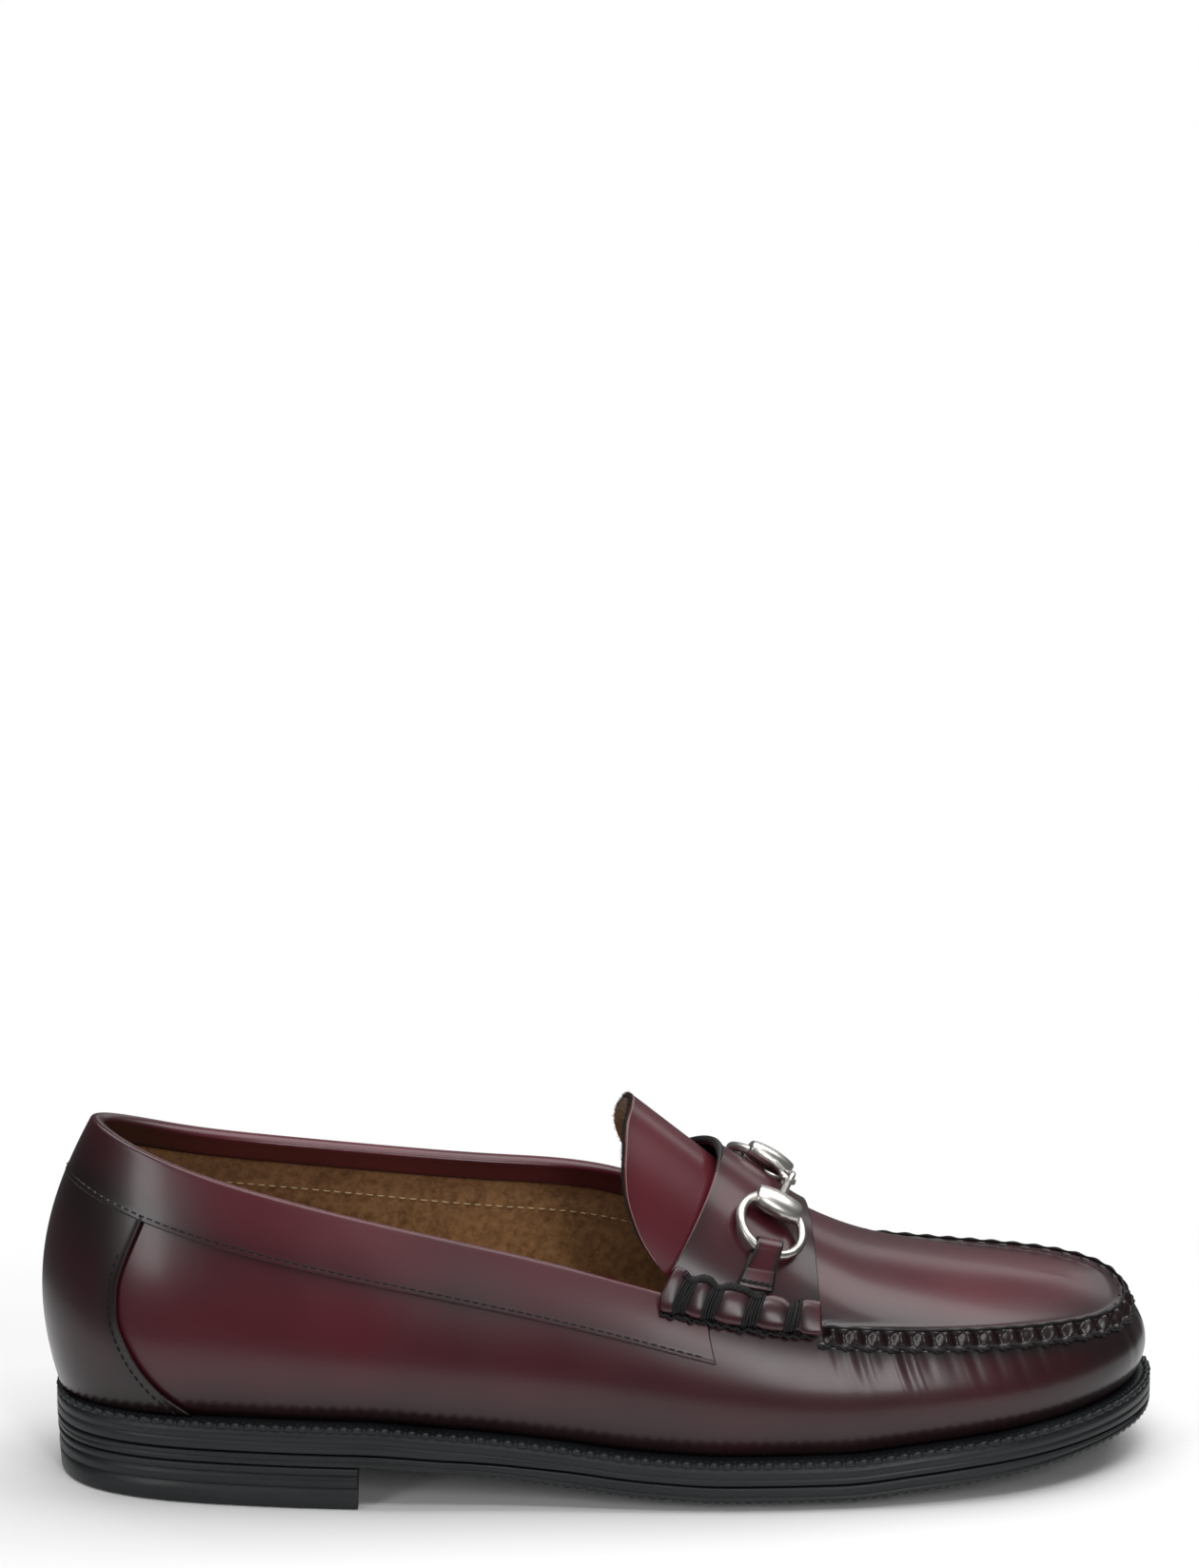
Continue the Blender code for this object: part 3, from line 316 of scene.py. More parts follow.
def underside(x):
    """Height of the sole's underside on its centre line: the heel's height behind the ball, flat
    at the ball, and the toe spring ahead of it."""
    share = length_share(x)
    heel = smooth_through(
        share, (0.0, 0.275, 0.36, 0.45, 0.53, 0.6, 0.8, 1.0), (1.0, 0.98, 0.74, 0.36, 0.1, 0, 0, 0)
    )
    toe = smooth_through(share, (0.0, 0.6, 0.7, 0.77, 0.87, 1.0), (0.0, 0.0, 0.0, 0.16, 0.44, 1.0))
    return heel * HEEL_BLOCK + toe * TOE_SPRING


def sole_swell(x):
    """How much of the sole's crown and swell is present along the shoe."""
    return smooth_through(length_share(x), (0.0, 0.28, 0.48, 0.80, 1.0), (0.0, 0.0, 1.0, 1.0, 0.4))


def crown(x, across):
    """How far the underside lifts towards its edges: the fourth power of the place across."""
    fade = smooth_through(length_share(x), (0.0, 0.28, 0.45, 1.0), (0.0, 0.0, 1.0, 1.0))
    return SOLE_CROWN * fade * np.abs(across) ** 4


def layer_top(x):
    """Height of the tread layer's top."""
    return underside(x) + OUTSOLE + (SOLE_CROWN + SOLE_SWELL) * sole_swell(x)


def sole_top(x):
    """Height of the welt, on which the upper stands."""
    return underside(x) + OUTSOLE + MIDSOLE + SOLE_CROWN * sole_swell(x)


MERGE_DISTANCE = 2e-6


def mesh_object(name, points, quads, materials, merge=False, burnish=None):
    """A smooth-shaded object from points shaped (..., 3) and quads of their running numbers,
    riding on the shoe. The darkness given for each point is kept as the attribute that its material
    reads: the leather's brushed-off finish and, on some pieces, painted shade and a painted pool of
    light."""
    mesh = bpy.data.meshes.new(name)
    mesh.vertices.add(points.size // 3)
    mesh.vertices.foreach_set("co", points.astype(np.float32).ravel())
    mesh.loops.add(quads.size)
    mesh.loops.foreach_set("vertex_index", quads.ravel().astype(np.int32))
    mesh.polygons.add(len(quads))
    mesh.polygons.foreach_set("loop_start", np.arange(0, quads.size, 4, dtype=np.int32))
    mesh.polygons.foreach_set("use_smooth", np.ones(len(quads), bool))
    mesh.update(calc_edges=True)
    if burnish is not None:
        layer = mesh.attributes.new("burnish", "FLOAT", "POINT")
        spread = np.broadcast_to(burnish, points.shape[:-1])
        layer.data.foreach_set("value", spread.astype(np.float32).ravel())
    if merge:
        shape = bmesh.new()
        shape.from_mesh(mesh)
        bmesh.ops.remove_doubles(shape, verts=shape.verts, dist=MERGE_DISTANCE)
        bmesh.ops.dissolve_degenerate(shape, edges=shape.edges, dist=MERGE_DISTANCE / 20)
        bmesh.ops.recalc_face_normals(shape, faces=shape.faces)
        shape.to_mesh(mesh)
        shape.free()
    for material in materials:
        mesh.materials.append(material)
    obj = bpy.data.objects.new(name, mesh)
    bpy.context.scene.collection.objects.link(obj)
    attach(obj, "root")
    return obj


def grid_quads(rows, columns, wrap_rows=False, wrap_columns=False, start=0):
    """The quads of a grid of points written row by row."""
    i = np.arange(rows if wrap_rows else rows - 1)[:, None]
    j = np.arange(columns if wrap_columns else columns - 1)[None, :]
    i, j = np.broadcast_arrays(i, j)
    here, after = i * columns, (i + 1) % rows * columns
    beside = (j + 1) % columns
    quads = np.stack([here + j, after + j, after + beside, here + beside], -1)
    return start + quads.reshape(-1, 4)


def sole_edge(around, outset):
    """Points of the sole's outline moved out by a distance."""
    size, out = wall_section(around), outward(around)
    edge = np.stack([size["sole_x"], size["sole_y"]], -1)
    return edge + out * np.broadcast_to(outset, around.shape)[..., None]


SOLE_PAIRS = 900
ACROSS = 9
NARROW = 0.03


def side_row(outset, level, shift=0.0, wave=np.zeros_like, out=0.0, up=0.0):
    """One row of a layer's side, as an outset and a height: a level along the shoe plus a shift,
    and a wave round the edge that pushes the row out and up."""
    return (
        lambda around: outset + out * wave(around),
        lambda x, around: level(x) + shift + up * wave(around),
    )


def sole_layer(name, rows, floor_height, top_height, material, ends=(TOE, TOE), pairs=SOLE_PAIRS):
    """A sole layer from the heel's back to an end on each side. Its side is a ring of profiles,
    each row an outset and a height; its top and underside are straight lines across between the
    paired stations of the two sides."""
    turn = np.linspace(0.0, 1.0, pairs + 1)
    outer, inner = turn * ends[0], 1 - turn * (1 - ends[1])
    closed = int(ends[0] == ends[1])
    ring = np.concatenate([outer, inner[::-1][closed:-1]])
    side = []
    for outset, height in rows:
        edge = sole_edge(ring, outset(ring) if callable(outset) else outset)
        side.append(np.concatenate([edge, height(edge[:, 0], ring)[:, None]], 1))
    points = [np.concatenate(side)]
    quads = [grid_quads(len(rows), len(ring), False, True)]
    share = np.linspace(0.0, 1.0, ACROSS)[None, :, None]
    from_middle = np.abs(2 * share[..., 0] - 1)
    start = len(points[0])
    for height, row, turned in ((floor_height, side[0], -1), (top_height, side[-1], 1)):
        near = row[: pairs + 1]
        far = np.concatenate([row[:1], row[::-1][: pairs - closed], row[pairs : pairs + closed]])
        flat = near[:, None] * (1 - share) + far[:, None] * share
        width = np.linalg.norm(far - near, axis=1)[:, None]
        across = 1 - np.clip(width / NARROW, 0, 1) * (1 - from_middle)
        lift = (near[:, 2:3] - height(near[:, 0:1], 1.0)) * from_middle**8
        flat[..., 2] = height(flat[..., 0], across) + lift
        flat[:, 0], flat[:, -1] = near, far
        points.append(flat.reshape(-1, 3))
        quads.append(grid_quads(pairs + 1, ACROSS, start=start)[:, ::turned])
        start += len(points[-1])
    return mesh_object(name, np.concatenate(points), np.concatenate(quads), [material], True)


def breast_place(back):
    """Where the heel block ends on one side, from the place of the heel's back on that side."""
    places = np.linspace(back, TOE, 600)
    return np.interp(HEEL_LENGTH / 2, wall_section(places)["sole_x"], places)


PERIMETER = edge_steps.sum()
WHEEL_PITCH = 0.0036
TREAD_PITCH = 0.0028


def wheeled(around):
    """The welt's outer edge: rounded scallops at the wheel's pitch, 0 in the notches."""
    return np.abs(np.sin(np.pi * around * PERIMETER / WHEEL_PITCH)) ** 0.7


FLOW_STREAKS_PER_METRE = 60.0
GRIT_PER_METRE = 1600.0


def rubber_material():
    """Moulded black rubber: satin, a little grey where it catches light, with a grit of 0.6 mm
    from the mould and faint flow streaks of 17 mm along the sole's side."""
    made, tree, shader = new_material("moulded black rubber", "#191c1e", 0.42, Specular_IOR_Level=0.35)
    where = node(tree, "ShaderNodeTexCoord").outputs["Object"]
    stretched = node(tree, "ShaderNodeMapping", {"Scale": (0.5, 0.5, 3.0)}, {"Vector": where})
    streaks = node(
        tree, "ShaderNodeTexNoise", {"Scale": FLOW_STREAKS_PER_METRE, "Detail": 5.0},
        {"Vector": stretched.outputs[0]},
    ).outputs["Fac"]
    node(
        tree, "ShaderNodeValToRGB", {"stops": ((0.3, "#111416"), (0.7, "#1d2022"))},
        {"Fac": streaks}, shader.inputs["Base Color"],
    )
    node(
        tree, "ShaderNodeMapRange", {"From Min": 0.3, "From Max": 0.7, "To Min": 0.34, "To Max": 0.52},
        {"Value": streaks}, shader.inputs["Roughness"],
    )
    grit = node(tree, "ShaderNodeTexNoise", {"Scale": GRIT_PER_METRE, "Detail": 3.0}, {"Vector": where})
    node(
        tree, "ShaderNodeBump", {"Strength": 0.25, "Distance": 0.0002},
        {"Height": grit.outputs["Fac"]}, shader.inputs["Normal"],
    )
    return made


rubber = rubber_material()

TREAD_NOTCH = 0.0005
TREAD_START = 0.070


def low_edge(x):
    """Height of the tread's lower edge, where the underside's crown lifts it most."""
    return underside(x) + crown(x, 1.0)


def tread_edge(x, around):
    """The tread's lower edge, notched at the tread's pitch from the arch forward."""
    ahead = np.clip((x - TREAD_START) / 0.01, 0, 1)
    notch = np.abs(np.sin(np.pi * around * PERIMETER / TREAD_PITCH)) ** 2
    return low_edge(x) + TREAD_NOTCH * notch * ahead


def tread_top(x):
    """Height of the tread layer's top, a gap below the midsole."""
    return layer_top(x) - GAP


outsole = sole_layer(
    "outsole_rubber",
    [
        (-0.0007, tread_edge),
        (-0.0001, lambda x, around: tread_edge(x, around) + 0.0003),
        side_row(0.0000, low_edge, 0.0014),
        side_row(-0.0003, low_edge, 0.00165),
        side_row(-0.0003, low_edge, 0.00185),
        side_row(0.0001, low_edge, 0.0021),
        side_row(0.0001, tread_top, -0.0005),
        side_row(-0.0002, tread_top, -0.0001),
        side_row(-0.0009, tread_top),
    ],
    lambda x, across: underside(x) + crown(x, across), lambda x, across: tread_top(x), rubber,
)
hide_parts("outsole")


def ribbed(around):
    """The fine ribs pressed into the welt's top, two to each of the wheel's scallops."""
    return 0.5 + 0.5 * np.cos(2 * np.pi * around * PERIMETER / (WHEEL_PITCH / 2))


midsole = sole_layer(
    "midsole_and_welt",
    [
        side_row(-0.0011, layer_top),
        side_row(-0.0003, layer_top, 0.0001),
        side_row(0.0001, layer_top, 0.0005),
        side_row(0.0001, sole_top, -0.0045),
        side_row(-0.0002, sole_top, -0.0043),
        side_row(0.0001, sole_top, -0.0041),
        side_row(0.0000, sole_top, -0.0019),
        side_row(-0.0005, sole_top, -0.0016),
        side_row(-0.0005, sole_top, -0.0014),
        side_row(-0.0007, sole_top, -0.0012, wheeled, 0.0008),
        side_row(-0.0011, sole_top, -0.0007, wheeled, 0.0013),
        side_row(-0.0012, sole_top, -0.0006, wheeled, 0.0011, 0.0008),
        side_row(-0.0015, sole_top, -0.0006, wheeled, 0.0003, 0.0009),
        side_row(-0.0018, sole_top, -0.0004),
        side_row(-0.0020, sole_top, -0.0005),
        side_row(-0.0023, sole_top, -0.0005, ribbed, 0.0, 0.0004),
        side_row(-0.0038, sole_top, -0.0004, ribbed, 0.0, 0.0004),
        side_row(-0.0044, sole_top, -0.0002),
    ],
    lambda x, across: layer_top(x), lambda x, across: sole_top(x) - 0.0002, rubber,
)
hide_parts("midsole")

block_top = HEEL_BLOCK - GAP
LIFT_LEVELS = (0.51, 0.80)


def heel_row(outset, share, shift=0.0):
    """One row of the heel block's side at a share of its height, kept below the sole."""
    return outset, lambda x, around: np.minimum(share * block_top + shift, underside(x) - GAP)


rows = [heel_row(-0.0018, 0.0), heel_row(-0.0011, 0.0, 0.0002), heel_row(-0.0006, 0.0, 0.0009)]
for level in LIFT_LEVELS:
    rows += [heel_row(-0.0003, level, -0.0004), heel_row(-0.0009, level, -0.0001)]
    rows += [heel_row(-0.0009, level, 0.0001), heel_row(-0.0002, level, 0.0004)]
rows += [heel_row(0.0, 1.0, -0.0003), heel_row(-0.0008, 1.0)]
heel = sole_layer(
    "heel_block", rows, lambda x, across: 0.0 * x,
    lambda x, across: np.minimum(block_top, underside(x) - GAP), rubber,
    (breast_place(0.0), breast_place(1.0)), 260,
)
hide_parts("heel")


# The upper: one skin of burgundy box leather, brushed off to near black at its edges, with painted
# shade along the wall's foot and in the pleats of its seam, and a painted pool of light on each
# quarter. The wall is lasted over the insole, gathered along its top edge and hand sewn to the plug,
# the flat piece over the toes and instep, which leaves a raised and pleated seam. Its flesh side is
# brown suede.

WALL = 0.0016
LASTING_MARGIN = 0.0085
RIDGE_Y = 0.015
ROLL_FRONT = 0.682
PLUG_START = 0.45
PLUG_COLUMNS = ("outer_x", "inner_x", "ridge_x", "ridge_z", "arch")
PLUG_SECTIONS = (
    (0.5390, 0.5290, 0.5990, 0.991, 1.35),
    (0.6080, 0.6020, 0.6400, 0.890, 1.40),
    (0.6850, 0.6800, 0.6810, 0.782, 1.50),
    (0.7570, 0.7480, 0.7450, 0.678, 1.65),
    (0.8420, 0.8290, 0.8180, 0.622, 1.85),
    (0.9120, 0.9050, 0.8750, 0.590, 2.00),
    (0.9560, 0.9540, 0.9050, 0.570, 2.00),
    (0.9715, 0.9715, 0.9180, 0.560, 2.00),
)
SKIN_WALL = 0.0015
SEAM_RISE = 0.0014
BAND_DROP = 0.0046
PLEAT_PITCH = 0.0060
PLEAT_DEPTH = 0.00080
PLEAT_CREASE = 0.12
RIPPLE_DEPTH = 0.00020
RIPPLE_LENGTH = 0.0090
BAND_ROWS_END = 0.0052
RIPPLE_ROWS_END = 0.0160
# The centre and reach of a painted pool of light on each quarter: along the shoe and up from the wall's foot.
PAINTED_LIGHT_CENTRE = (0.028, 0.030)
PAINTED_LIGHT_REACH = (0.045, 0.022)
PLUG_END = len(PLUG_SECTIONS) - 1
TOE_ROWS = 34
TOE_ROUNDS = 60
WALL_HANDLE = 0.36
SEAM_TIP = 0.8
SEAM_LIMIT = np.radians(88.0)


def wall_point(around, height):
    """A point of the wall's outer face, height 0 at its foot to 1 at its top edge: a cubic curve
    that swells outwards by low near its foot and by high near its top."""
    around, height = np.broadcast_arrays(np.asarray(around, float), np.asarray(height, float))
    size, out = wall_section(around), outward(around)
    foot_x = size["sole_x"] - out[..., 0] * size["inset"]
    foot_y = size["sole_y"] - out[..., 1] * size["inset"]
    foot_z = sole_top(foot_x) + GAP
    foot = np.stack([foot_x, foot_y, foot_z], -1)
    top = np.stack([size["top_x"], size["top_y"], size["top_z"]], -1)
    level = np.concatenate([out, np.zeros(out.shape[:-1] + (1,))], -1)
    lift = np.zeros(foot.shape)
    lift[..., 2] = (size["top_z"] - foot_z) * WALL_HANDLE
    lower = foot + level * size["low"][..., None] + lift
    upper = top + level * size["high"][..., None] - lift
    t = height[..., None]
    return (1 - t) ** 3 * foot + 3 * t * (1 - t) ** 2 * lower + 3 * t**2 * (1 - t) * upper + t**3 * top


def seam_place(x, side):
    """Where the wall's top edge has this x on one side, as a place around the shoe."""
    places = np.linspace(0.0 if side == "outer" else 1.0, TOE, 1201)
    return np.interp(x, wall_section(places)["top_x"], places)


def plug_section(place):
    """The plug's named sizes at a place along it, counted in sections from the throat."""
    rows = np.arange(len(PLUG_SECTIONS))
    table = np.array(PLUG_SECTIONS)
    return {name: smooth_through(place, rows, table[:, i]) for i, name in enumerate(PLUG_COLUMNS)}


def plug_point(place, angle):
    """A point of the plug, angle -90 degrees at the outer seam over 0 at the ridge to 90 at the
    inner seam: a quarter ellipse, flattened by the arch exponent, on each side."""
    place, angle = np.broadcast_arrays(np.asarray(place, float), np.asarray(angle, float))
    size = plug_section(place)
    side_x = place_at(np.where(angle < 0, size["outer_x"], size["inner_x"]))
    outer, inner = seam_place(side_x, "outer"), seam_place(side_x, "inner")
    edge = wall_point(np.where(angle < 0, outer, inner), 1.0)
    ridge = np.stack(
        [
            place_at(size["ridge_x"]),
            np.full(place.shape, RIDGE_Y * BALL_WIDTH),
            size["ridge_z"] * INSTEP_HEIGHT,
        ],
        -1,
    )
    centre = edge.copy()
    centre[..., 1] = ridge[..., 1]
    turn = np.abs(np.sin(angle))[..., None]
    rise = (np.clip(np.cos(angle), 0, 1) ** size["arch"])[..., None]
    return centre + turn * (edge - centre) + rise * (ridge - centre)


def normal_of(point, u, v):
    """The unit normal of a surface, from small steps along its two parameters."""
    small = 1e-4
    along_u = point(u + small, v) - point(u - small, v)
    along_v = point(u, v + small) - point(u, v - small)
    normal = np.cross(along_u, along_v)
    return normal / np.linalg.norm(normal, axis=-1, keepdims=True)


def wall_lifted(around, height, lift):
    """A point at a distance outside the wall's outer face."""
    around, height = np.broadcast_arrays(np.asarray(around, float), np.asarray(height, float))
    lift = np.broadcast_to(lift, around.shape)[..., None]
    return wall_point(around, height) + normal_of(wall_point, around, height) * lift


def plug_lifted(place, angle, lift):
    """A point at a distance above the plug, with the seam's own normal taken just inside it."""
    place, angle = np.broadcast_arrays(np.asarray(place, float), np.asarray(angle, float))
    lift = np.broadcast_to(lift, place.shape)[..., None]
    normal = normal_of(plug_point, place, np.clip(angle, -SEAM_LIMIT, SEAM_LIMIT))
    return plug_point(place, angle) + normal * lift


def seam_ends(place):
    """Where the plug's section meets the seam: places around the shoe, outer then inner."""
    size = plug_section(place)
    ends = [place_at(size[name]) for name in ("outer_x", "inner_x")]
    return seam_place(ends[0], "outer"), seam_place(ends[1], "inner")


def top_lean(around):
    """The unit direction in which the sewn seam stands: the wall's normal tipped upwards."""
    lean = normal_of(wall_point, around, np.ones(np.shape(around)))
    lean[..., 2] += SEAM_TIP
    return lean / np.linalg.norm(lean, axis=-1, keepdims=True)


def seam_share(around):
    """How much of the raised seam is present: all of it ahead of the beef rolls."""
    ahead = wall_section(around)["top_x"] + HEEL_LENGTH / 2 - ROLL_FRONT * SOLE_LENGTH
    return np.clip((ahead + 0.001) / 0.004, 0.0, 1.0)


def pleat_count(around):
    """Pleats counted along the seam: its length over the pitch, which runs through the toe."""
    places = np.linspace(0.0, 1.0, 4001)
    size = wall_section(places)
    path = np.stack([size["top_x"], size["top_y"], size["top_z"]], -1)
    run = np.concatenate([[0.0], np.cumsum(np.linalg.norm(np.diff(path, axis=0), axis=1))])
    return np.interp(np.mod(around, 1.0), places, run) / PLEAT_PITCH


def per_pleat(count, seed):
    """An even random number from 0 to 1 for each pleat."""
    table = np.random.default_rng(seed).random(400)
    return table[np.mod(np.floor(count).astype(int), 400)]


def band_puff(distance):
    """Rise of the gathered band at a distance below the seam's top: a rounded roll that ends in
    a crease at the band's foot."""
    t = np.clip((distance / BAND_DROP - 0.30) / 0.70, -1.0, 1.0)
    return np.where(t < 0, 1.0, np.sqrt(np.clip(1 - t**2, 0, 1)))


def gathered(around, distance):
    """Shift of the wall near the seam, along its lean and along its normal: the band puffs up
    between creases at each pleat, and ripples run down from the creases and fade."""
    count = pleat_count(around)
    phase = np.abs(count - np.round(count))
    ridge = np.exp(-((phase / PLEAT_CREASE) ** 2))
    inside = np.clip(distance / 0.0009, 0, 1) * np.clip((BAND_DROP - distance) / 0.0012, 0, 1)
    cell = np.cos(np.pi * np.clip((phase - PLEAT_CREASE) / (0.5 - PLEAT_CREASE), 0, 1)) * 0.5 - 0.5
    rise = SEAM_RISE * band_puff(distance) + PLEAT_DEPTH * inside * (0.70 * ridge + 1.7 * cell)
    below = distance - BAND_DROP * 0.8
    nearest = np.round(count) + 0.5
    reach = RIPPLE_LENGTH * (0.6 + 0.9 * per_pleat(nearest, 7))
    size = RIPPLE_DEPTH * (0.35 + 0.9 * per_pleat(nearest, 11))
    side = 0.35 + 0.65 * np.abs(np.sin(np.pi * (np.mod(around, 1.0) - TOE) * 1.6)) ** 0.5
    fold = np.cos(2 * np.pi * phase) + 0.22 * np.cos(4 * np.pi * phase)
    ripple = -size * side * fold * np.exp(-((np.clip(below, 0, None) / reach) ** 1.5)) * (below > 0)
    here = seam_share(around)
    return rise * here, ripple * here


CLOUDS_PER_METRE = 26.0
HAZE_PER_METRE = 70.0
GRAINS_PER_METRE = 2600.0
NAP_PER_METRE = 420.0
BRUSH_MARKS_PER_METRE = 45.0


def box_leather():
    """Box calf with a brushed-off finish: burgundy that darkens to near black in clouds of 38 mm and
    where the darkness attribute is high, which holds the finish and, on some pieces, painted shade and
    a painted pool of light; a thin satin coat that is a little uneven over 14 mm, and a grain of 0.4 mm."""
    made, tree, shader = new_material(
        "burgundy box leather", "#4a1421", 0.35, IOR=1.43, Coat_Weight=0.25, Coat_Roughness=0.18, Coat_IOR=1.5
    )
    where = node(tree, "ShaderNodeTexCoord").outputs["Object"]
    worn = node(tree, "ShaderNodeAttribute", {"attribute_name": "burnish"}).outputs["Fac"]
    cloud = node(tree, "ShaderNodeTexNoise", {"Scale": CLOUDS_PER_METRE, "Detail": 1.0}, {"Vector": where})
    uneven = node(
        tree, "ShaderNodeMapRange",
        {"clamp": False, "From Min": 0.0, "From Max": 1.0, "To Min": 0.05, "To Max": 0.45},
        {"Value": cloud.outputs["Fac"]},
    )
    shade = node(tree, "ShaderNodeMath", {"operation": "ADD"}, {0: worn, 1: uneven.outputs[0]})
    browning = ((0.05, "#6a202b"), (0.25, "#5a1a25"), (0.60, "#3a121a"), (0.85, "#230d11"), (1.0, "#170a0b"))
    tint = node(
        tree, "ShaderNodeValToRGB", {"stops": browning}, {"Fac": shade.outputs[0]},
        shader.inputs["Base Color"],
    )
    tint.color_ramp.interpolation = "B_SPLINE"
    haze = node(tree, "ShaderNodeTexNoise", {"Scale": HAZE_PER_METRE, "Detail": 1.0}, {"Vector": where})
    node(
        tree, "ShaderNodeMapRange",
        {"clamp": False, "From Min": 0.0, "From Max": 1.0, "To Min": 0.28, "To Max": 0.38},
        {"Value": haze.outputs["Fac"]}, shader.inputs["Roughness"],
    )
    grain = node(tree, "ShaderNodeTexNoise", {"Scale": GRAINS_PER_METRE, "Detail": 0.0}, {"Vector": where})
    node(
        tree, "ShaderNodeBump", {"Strength": 0.04, "Distance": 0.00003},
        {"Height": grain.outputs["Fac"]}, shader.inputs["Normal"],
    )
    return made


def suede_material():
    """Brown suede, the leather's brushed flesh side: a short matt nap in two browns with a soft
    sheen, in tufts drawn 2.4 mm wide so that they show, and brush marks of 22 mm."""
    made, tree, shader = new_material(
        "brown suede lining", "#5d4329", 0.95, Sheen_Weight=0.35, Sheen_Roughness=0.5, Specular_IOR_Level=0.15
    )
    where = node(tree, "ShaderNodeTexCoord").outputs["Object"]
    nap = node(
        tree, "ShaderNodeTexNoise", {"Scale": NAP_PER_METRE, "Detail": 6.0, "Roughness": 0.7},
        {"Vector": where},
    )
    marks = node(
        tree, "ShaderNodeTexNoise", {"Scale": BRUSH_MARKS_PER_METRE, "Detail": 3.0}, {"Vector": where}
    )
    paler = node(
        tree, "ShaderNodeMapRange", {"From Min": -0.5, "From Max": 0.5, "To Min": -0.15, "To Max": 0.15},
        {"Value": marks.outputs["Fac"]},
    )
    both = node(tree, "ShaderNodeMath", {"operation": "ADD"}, {0: nap.outputs["Fac"], 1: paler.outputs[0]})
    node(
        tree, "ShaderNodeValToRGB", {"stops": ((0.40, "#5a3d23"), (0.55, "#7b5734"), (0.75, "#99714a"))},
        {"Fac": both.outputs[0]}, shader.inputs["Base Color"],
    )
    node(
        tree, "ShaderNodeBump", {"Strength": 0.5, "Distance": 0.0004},
        {"Height": nap.outputs["Fac"]}, shader.inputs["Normal"],
    )
    return made


leather, suede = box_leather(), suede_material()
cut_edge, _, _ = new_material("raw cut edge of leather", "#8f5f5c", 0.7)
ink, _, _ = new_material("black edge ink", "#171214", 0.45)


def solidify(obj, thickness, inside=0, rim=0):
    """Gives a sheet its thickness inwards, with material slots for its inside and its edges."""
    solid = obj.modifiers.new("Thickness", "SOLIDIFY")
    solid.thickness = thickness
    solid.offset = -1.0
    solid.use_even_offset = False
    solid.material_offset = inside
    solid.material_offset_rim = rim
    return obj


def edge_dark(distance, reach, most):
    """Darkness that fades from a most at an edge over a reach."""
    return most * np.exp(-((np.clip(distance, 0, None) / reach) ** 1.3))


# The wall's rows run down from its top edge, closest over the gathered band, then over the
# ripples, and end in the margin that is turned in over the insole.
seam_x = place_at(ROLL_FRONT) - 0.002
seam_start, seam_end = seam_place(seam_x, "outer"), seam_place(seam_x, "inner")
ring = np.concatenate([
    np.linspace(0.0, seam_start, 110, endpoint=False),
    np.linspace(seam_start, seam_end, 460, endpoint=False),
    np.linspace(seam_end, 1.0, 110, endpoint=False),
])
speed = np.linalg.norm(wall_point(ring, 1.0) - wall_point(ring, 0.998), axis=-1) / 0.002
fine = np.concatenate([
    np.linspace(0.0, BAND_ROWS_END, 14), np.linspace(BAND_ROWS_END + 0.0008, RIPPLE_ROWS_END, 15)
])
top_heights = 1 - fine[None, :] / speed[:, None]
share = np.linspace(0.0, 1.0, 23)[None, 1:]
heights = np.concatenate([top_heights, top_heights[:, -1:] * (1 - share)], 1)
distance = (1 - heights) * speed[:, None]
skin = wall_point(ring[:, None], heights)
rise, ripple = gathered(ring[:, None], distance)
skin += top_lean(ring)[:, None] * rise[..., None]
skin += normal_of(wall_point, ring[:, None], heights) * ripple[..., None]
out = outward(ring)
margin = skin[:, -1:].repeat(2, 1)
margin[:, 0, :2] -= out * 0.0006
margin[:, 1, :2] -= out * LASTING_MARGIN
margin[..., 2] = sole_top(skin[:, -1, 0])[:, None] + GAP
skin = np.concatenate([skin, margin], 1)
rows, columns = skin.shape[:2]
above_foot = np.concatenate([heights * speed[:, None], np.zeros((rows, 2))], 1)
below_top = np.concatenate([distance, np.full((rows, 2), 0.05)], 1)
toe_dark = 0.35 * np.exp(-((np.abs(ring - TOE) / 0.07) ** 2))[:, None]
# The band is darker near the seam from the brushed-off finish, with painted shade in the hollows between its
# pleat ridges and in the crease at its foot.
count = pleat_count(ring)[:, None]
pleat_hollow_shade = 1 - np.exp(-((np.abs(count - np.round(count)) / 0.10) ** 2))
band_foot_shade = 0.5 * edge_dark(below_top - BAND_DROP, 0.002, 1)
band_finish_and_shade = seam_share(ring)[:, None] * np.where(below_top < BAND_DROP, 0.35 + 0.5 * pleat_hollow_shade, band_foot_shade)
# A painted pool of light on each quarter, painted shade along the wall's foot by the welt, and a darker top
# edge from the brushed-off finish.
painted_light_patch = 0.42 * np.exp(-(((skin[..., 0] - PAINTED_LIGHT_CENTRE[0]) / PAINTED_LIGHT_REACH[0]) ** 2))
painted_light_patch *= np.exp(-(((above_foot - PAINTED_LIGHT_CENTRE[1]) / PAINTED_LIGHT_REACH[1]) ** 2))
dark = 0.38 - 0.5 * painted_light_patch + edge_dark(above_foot, 0.009, 0.35) + edge_dark(below_top, 0.010, 0.2)
upper_wall = mesh_object(
    "upper_wall", skin, grid_quads(rows, columns, wrap_rows=True)[:, ::-1],
    [leather, suede, leather, ink], burnish=dark + toe_dark + band_finish_and_shade,
)
seam_faces = np.zeros((rows, columns - 1), np.int32)
seam_faces[(ring > seam_start) & (ring < seam_end), : len(fine)] = 2
upper_wall.data.polygons.foreach_set("material_index", seam_faces.ravel())
solidify(upper_wall, SKIN_WALL, 1)
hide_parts("upper")

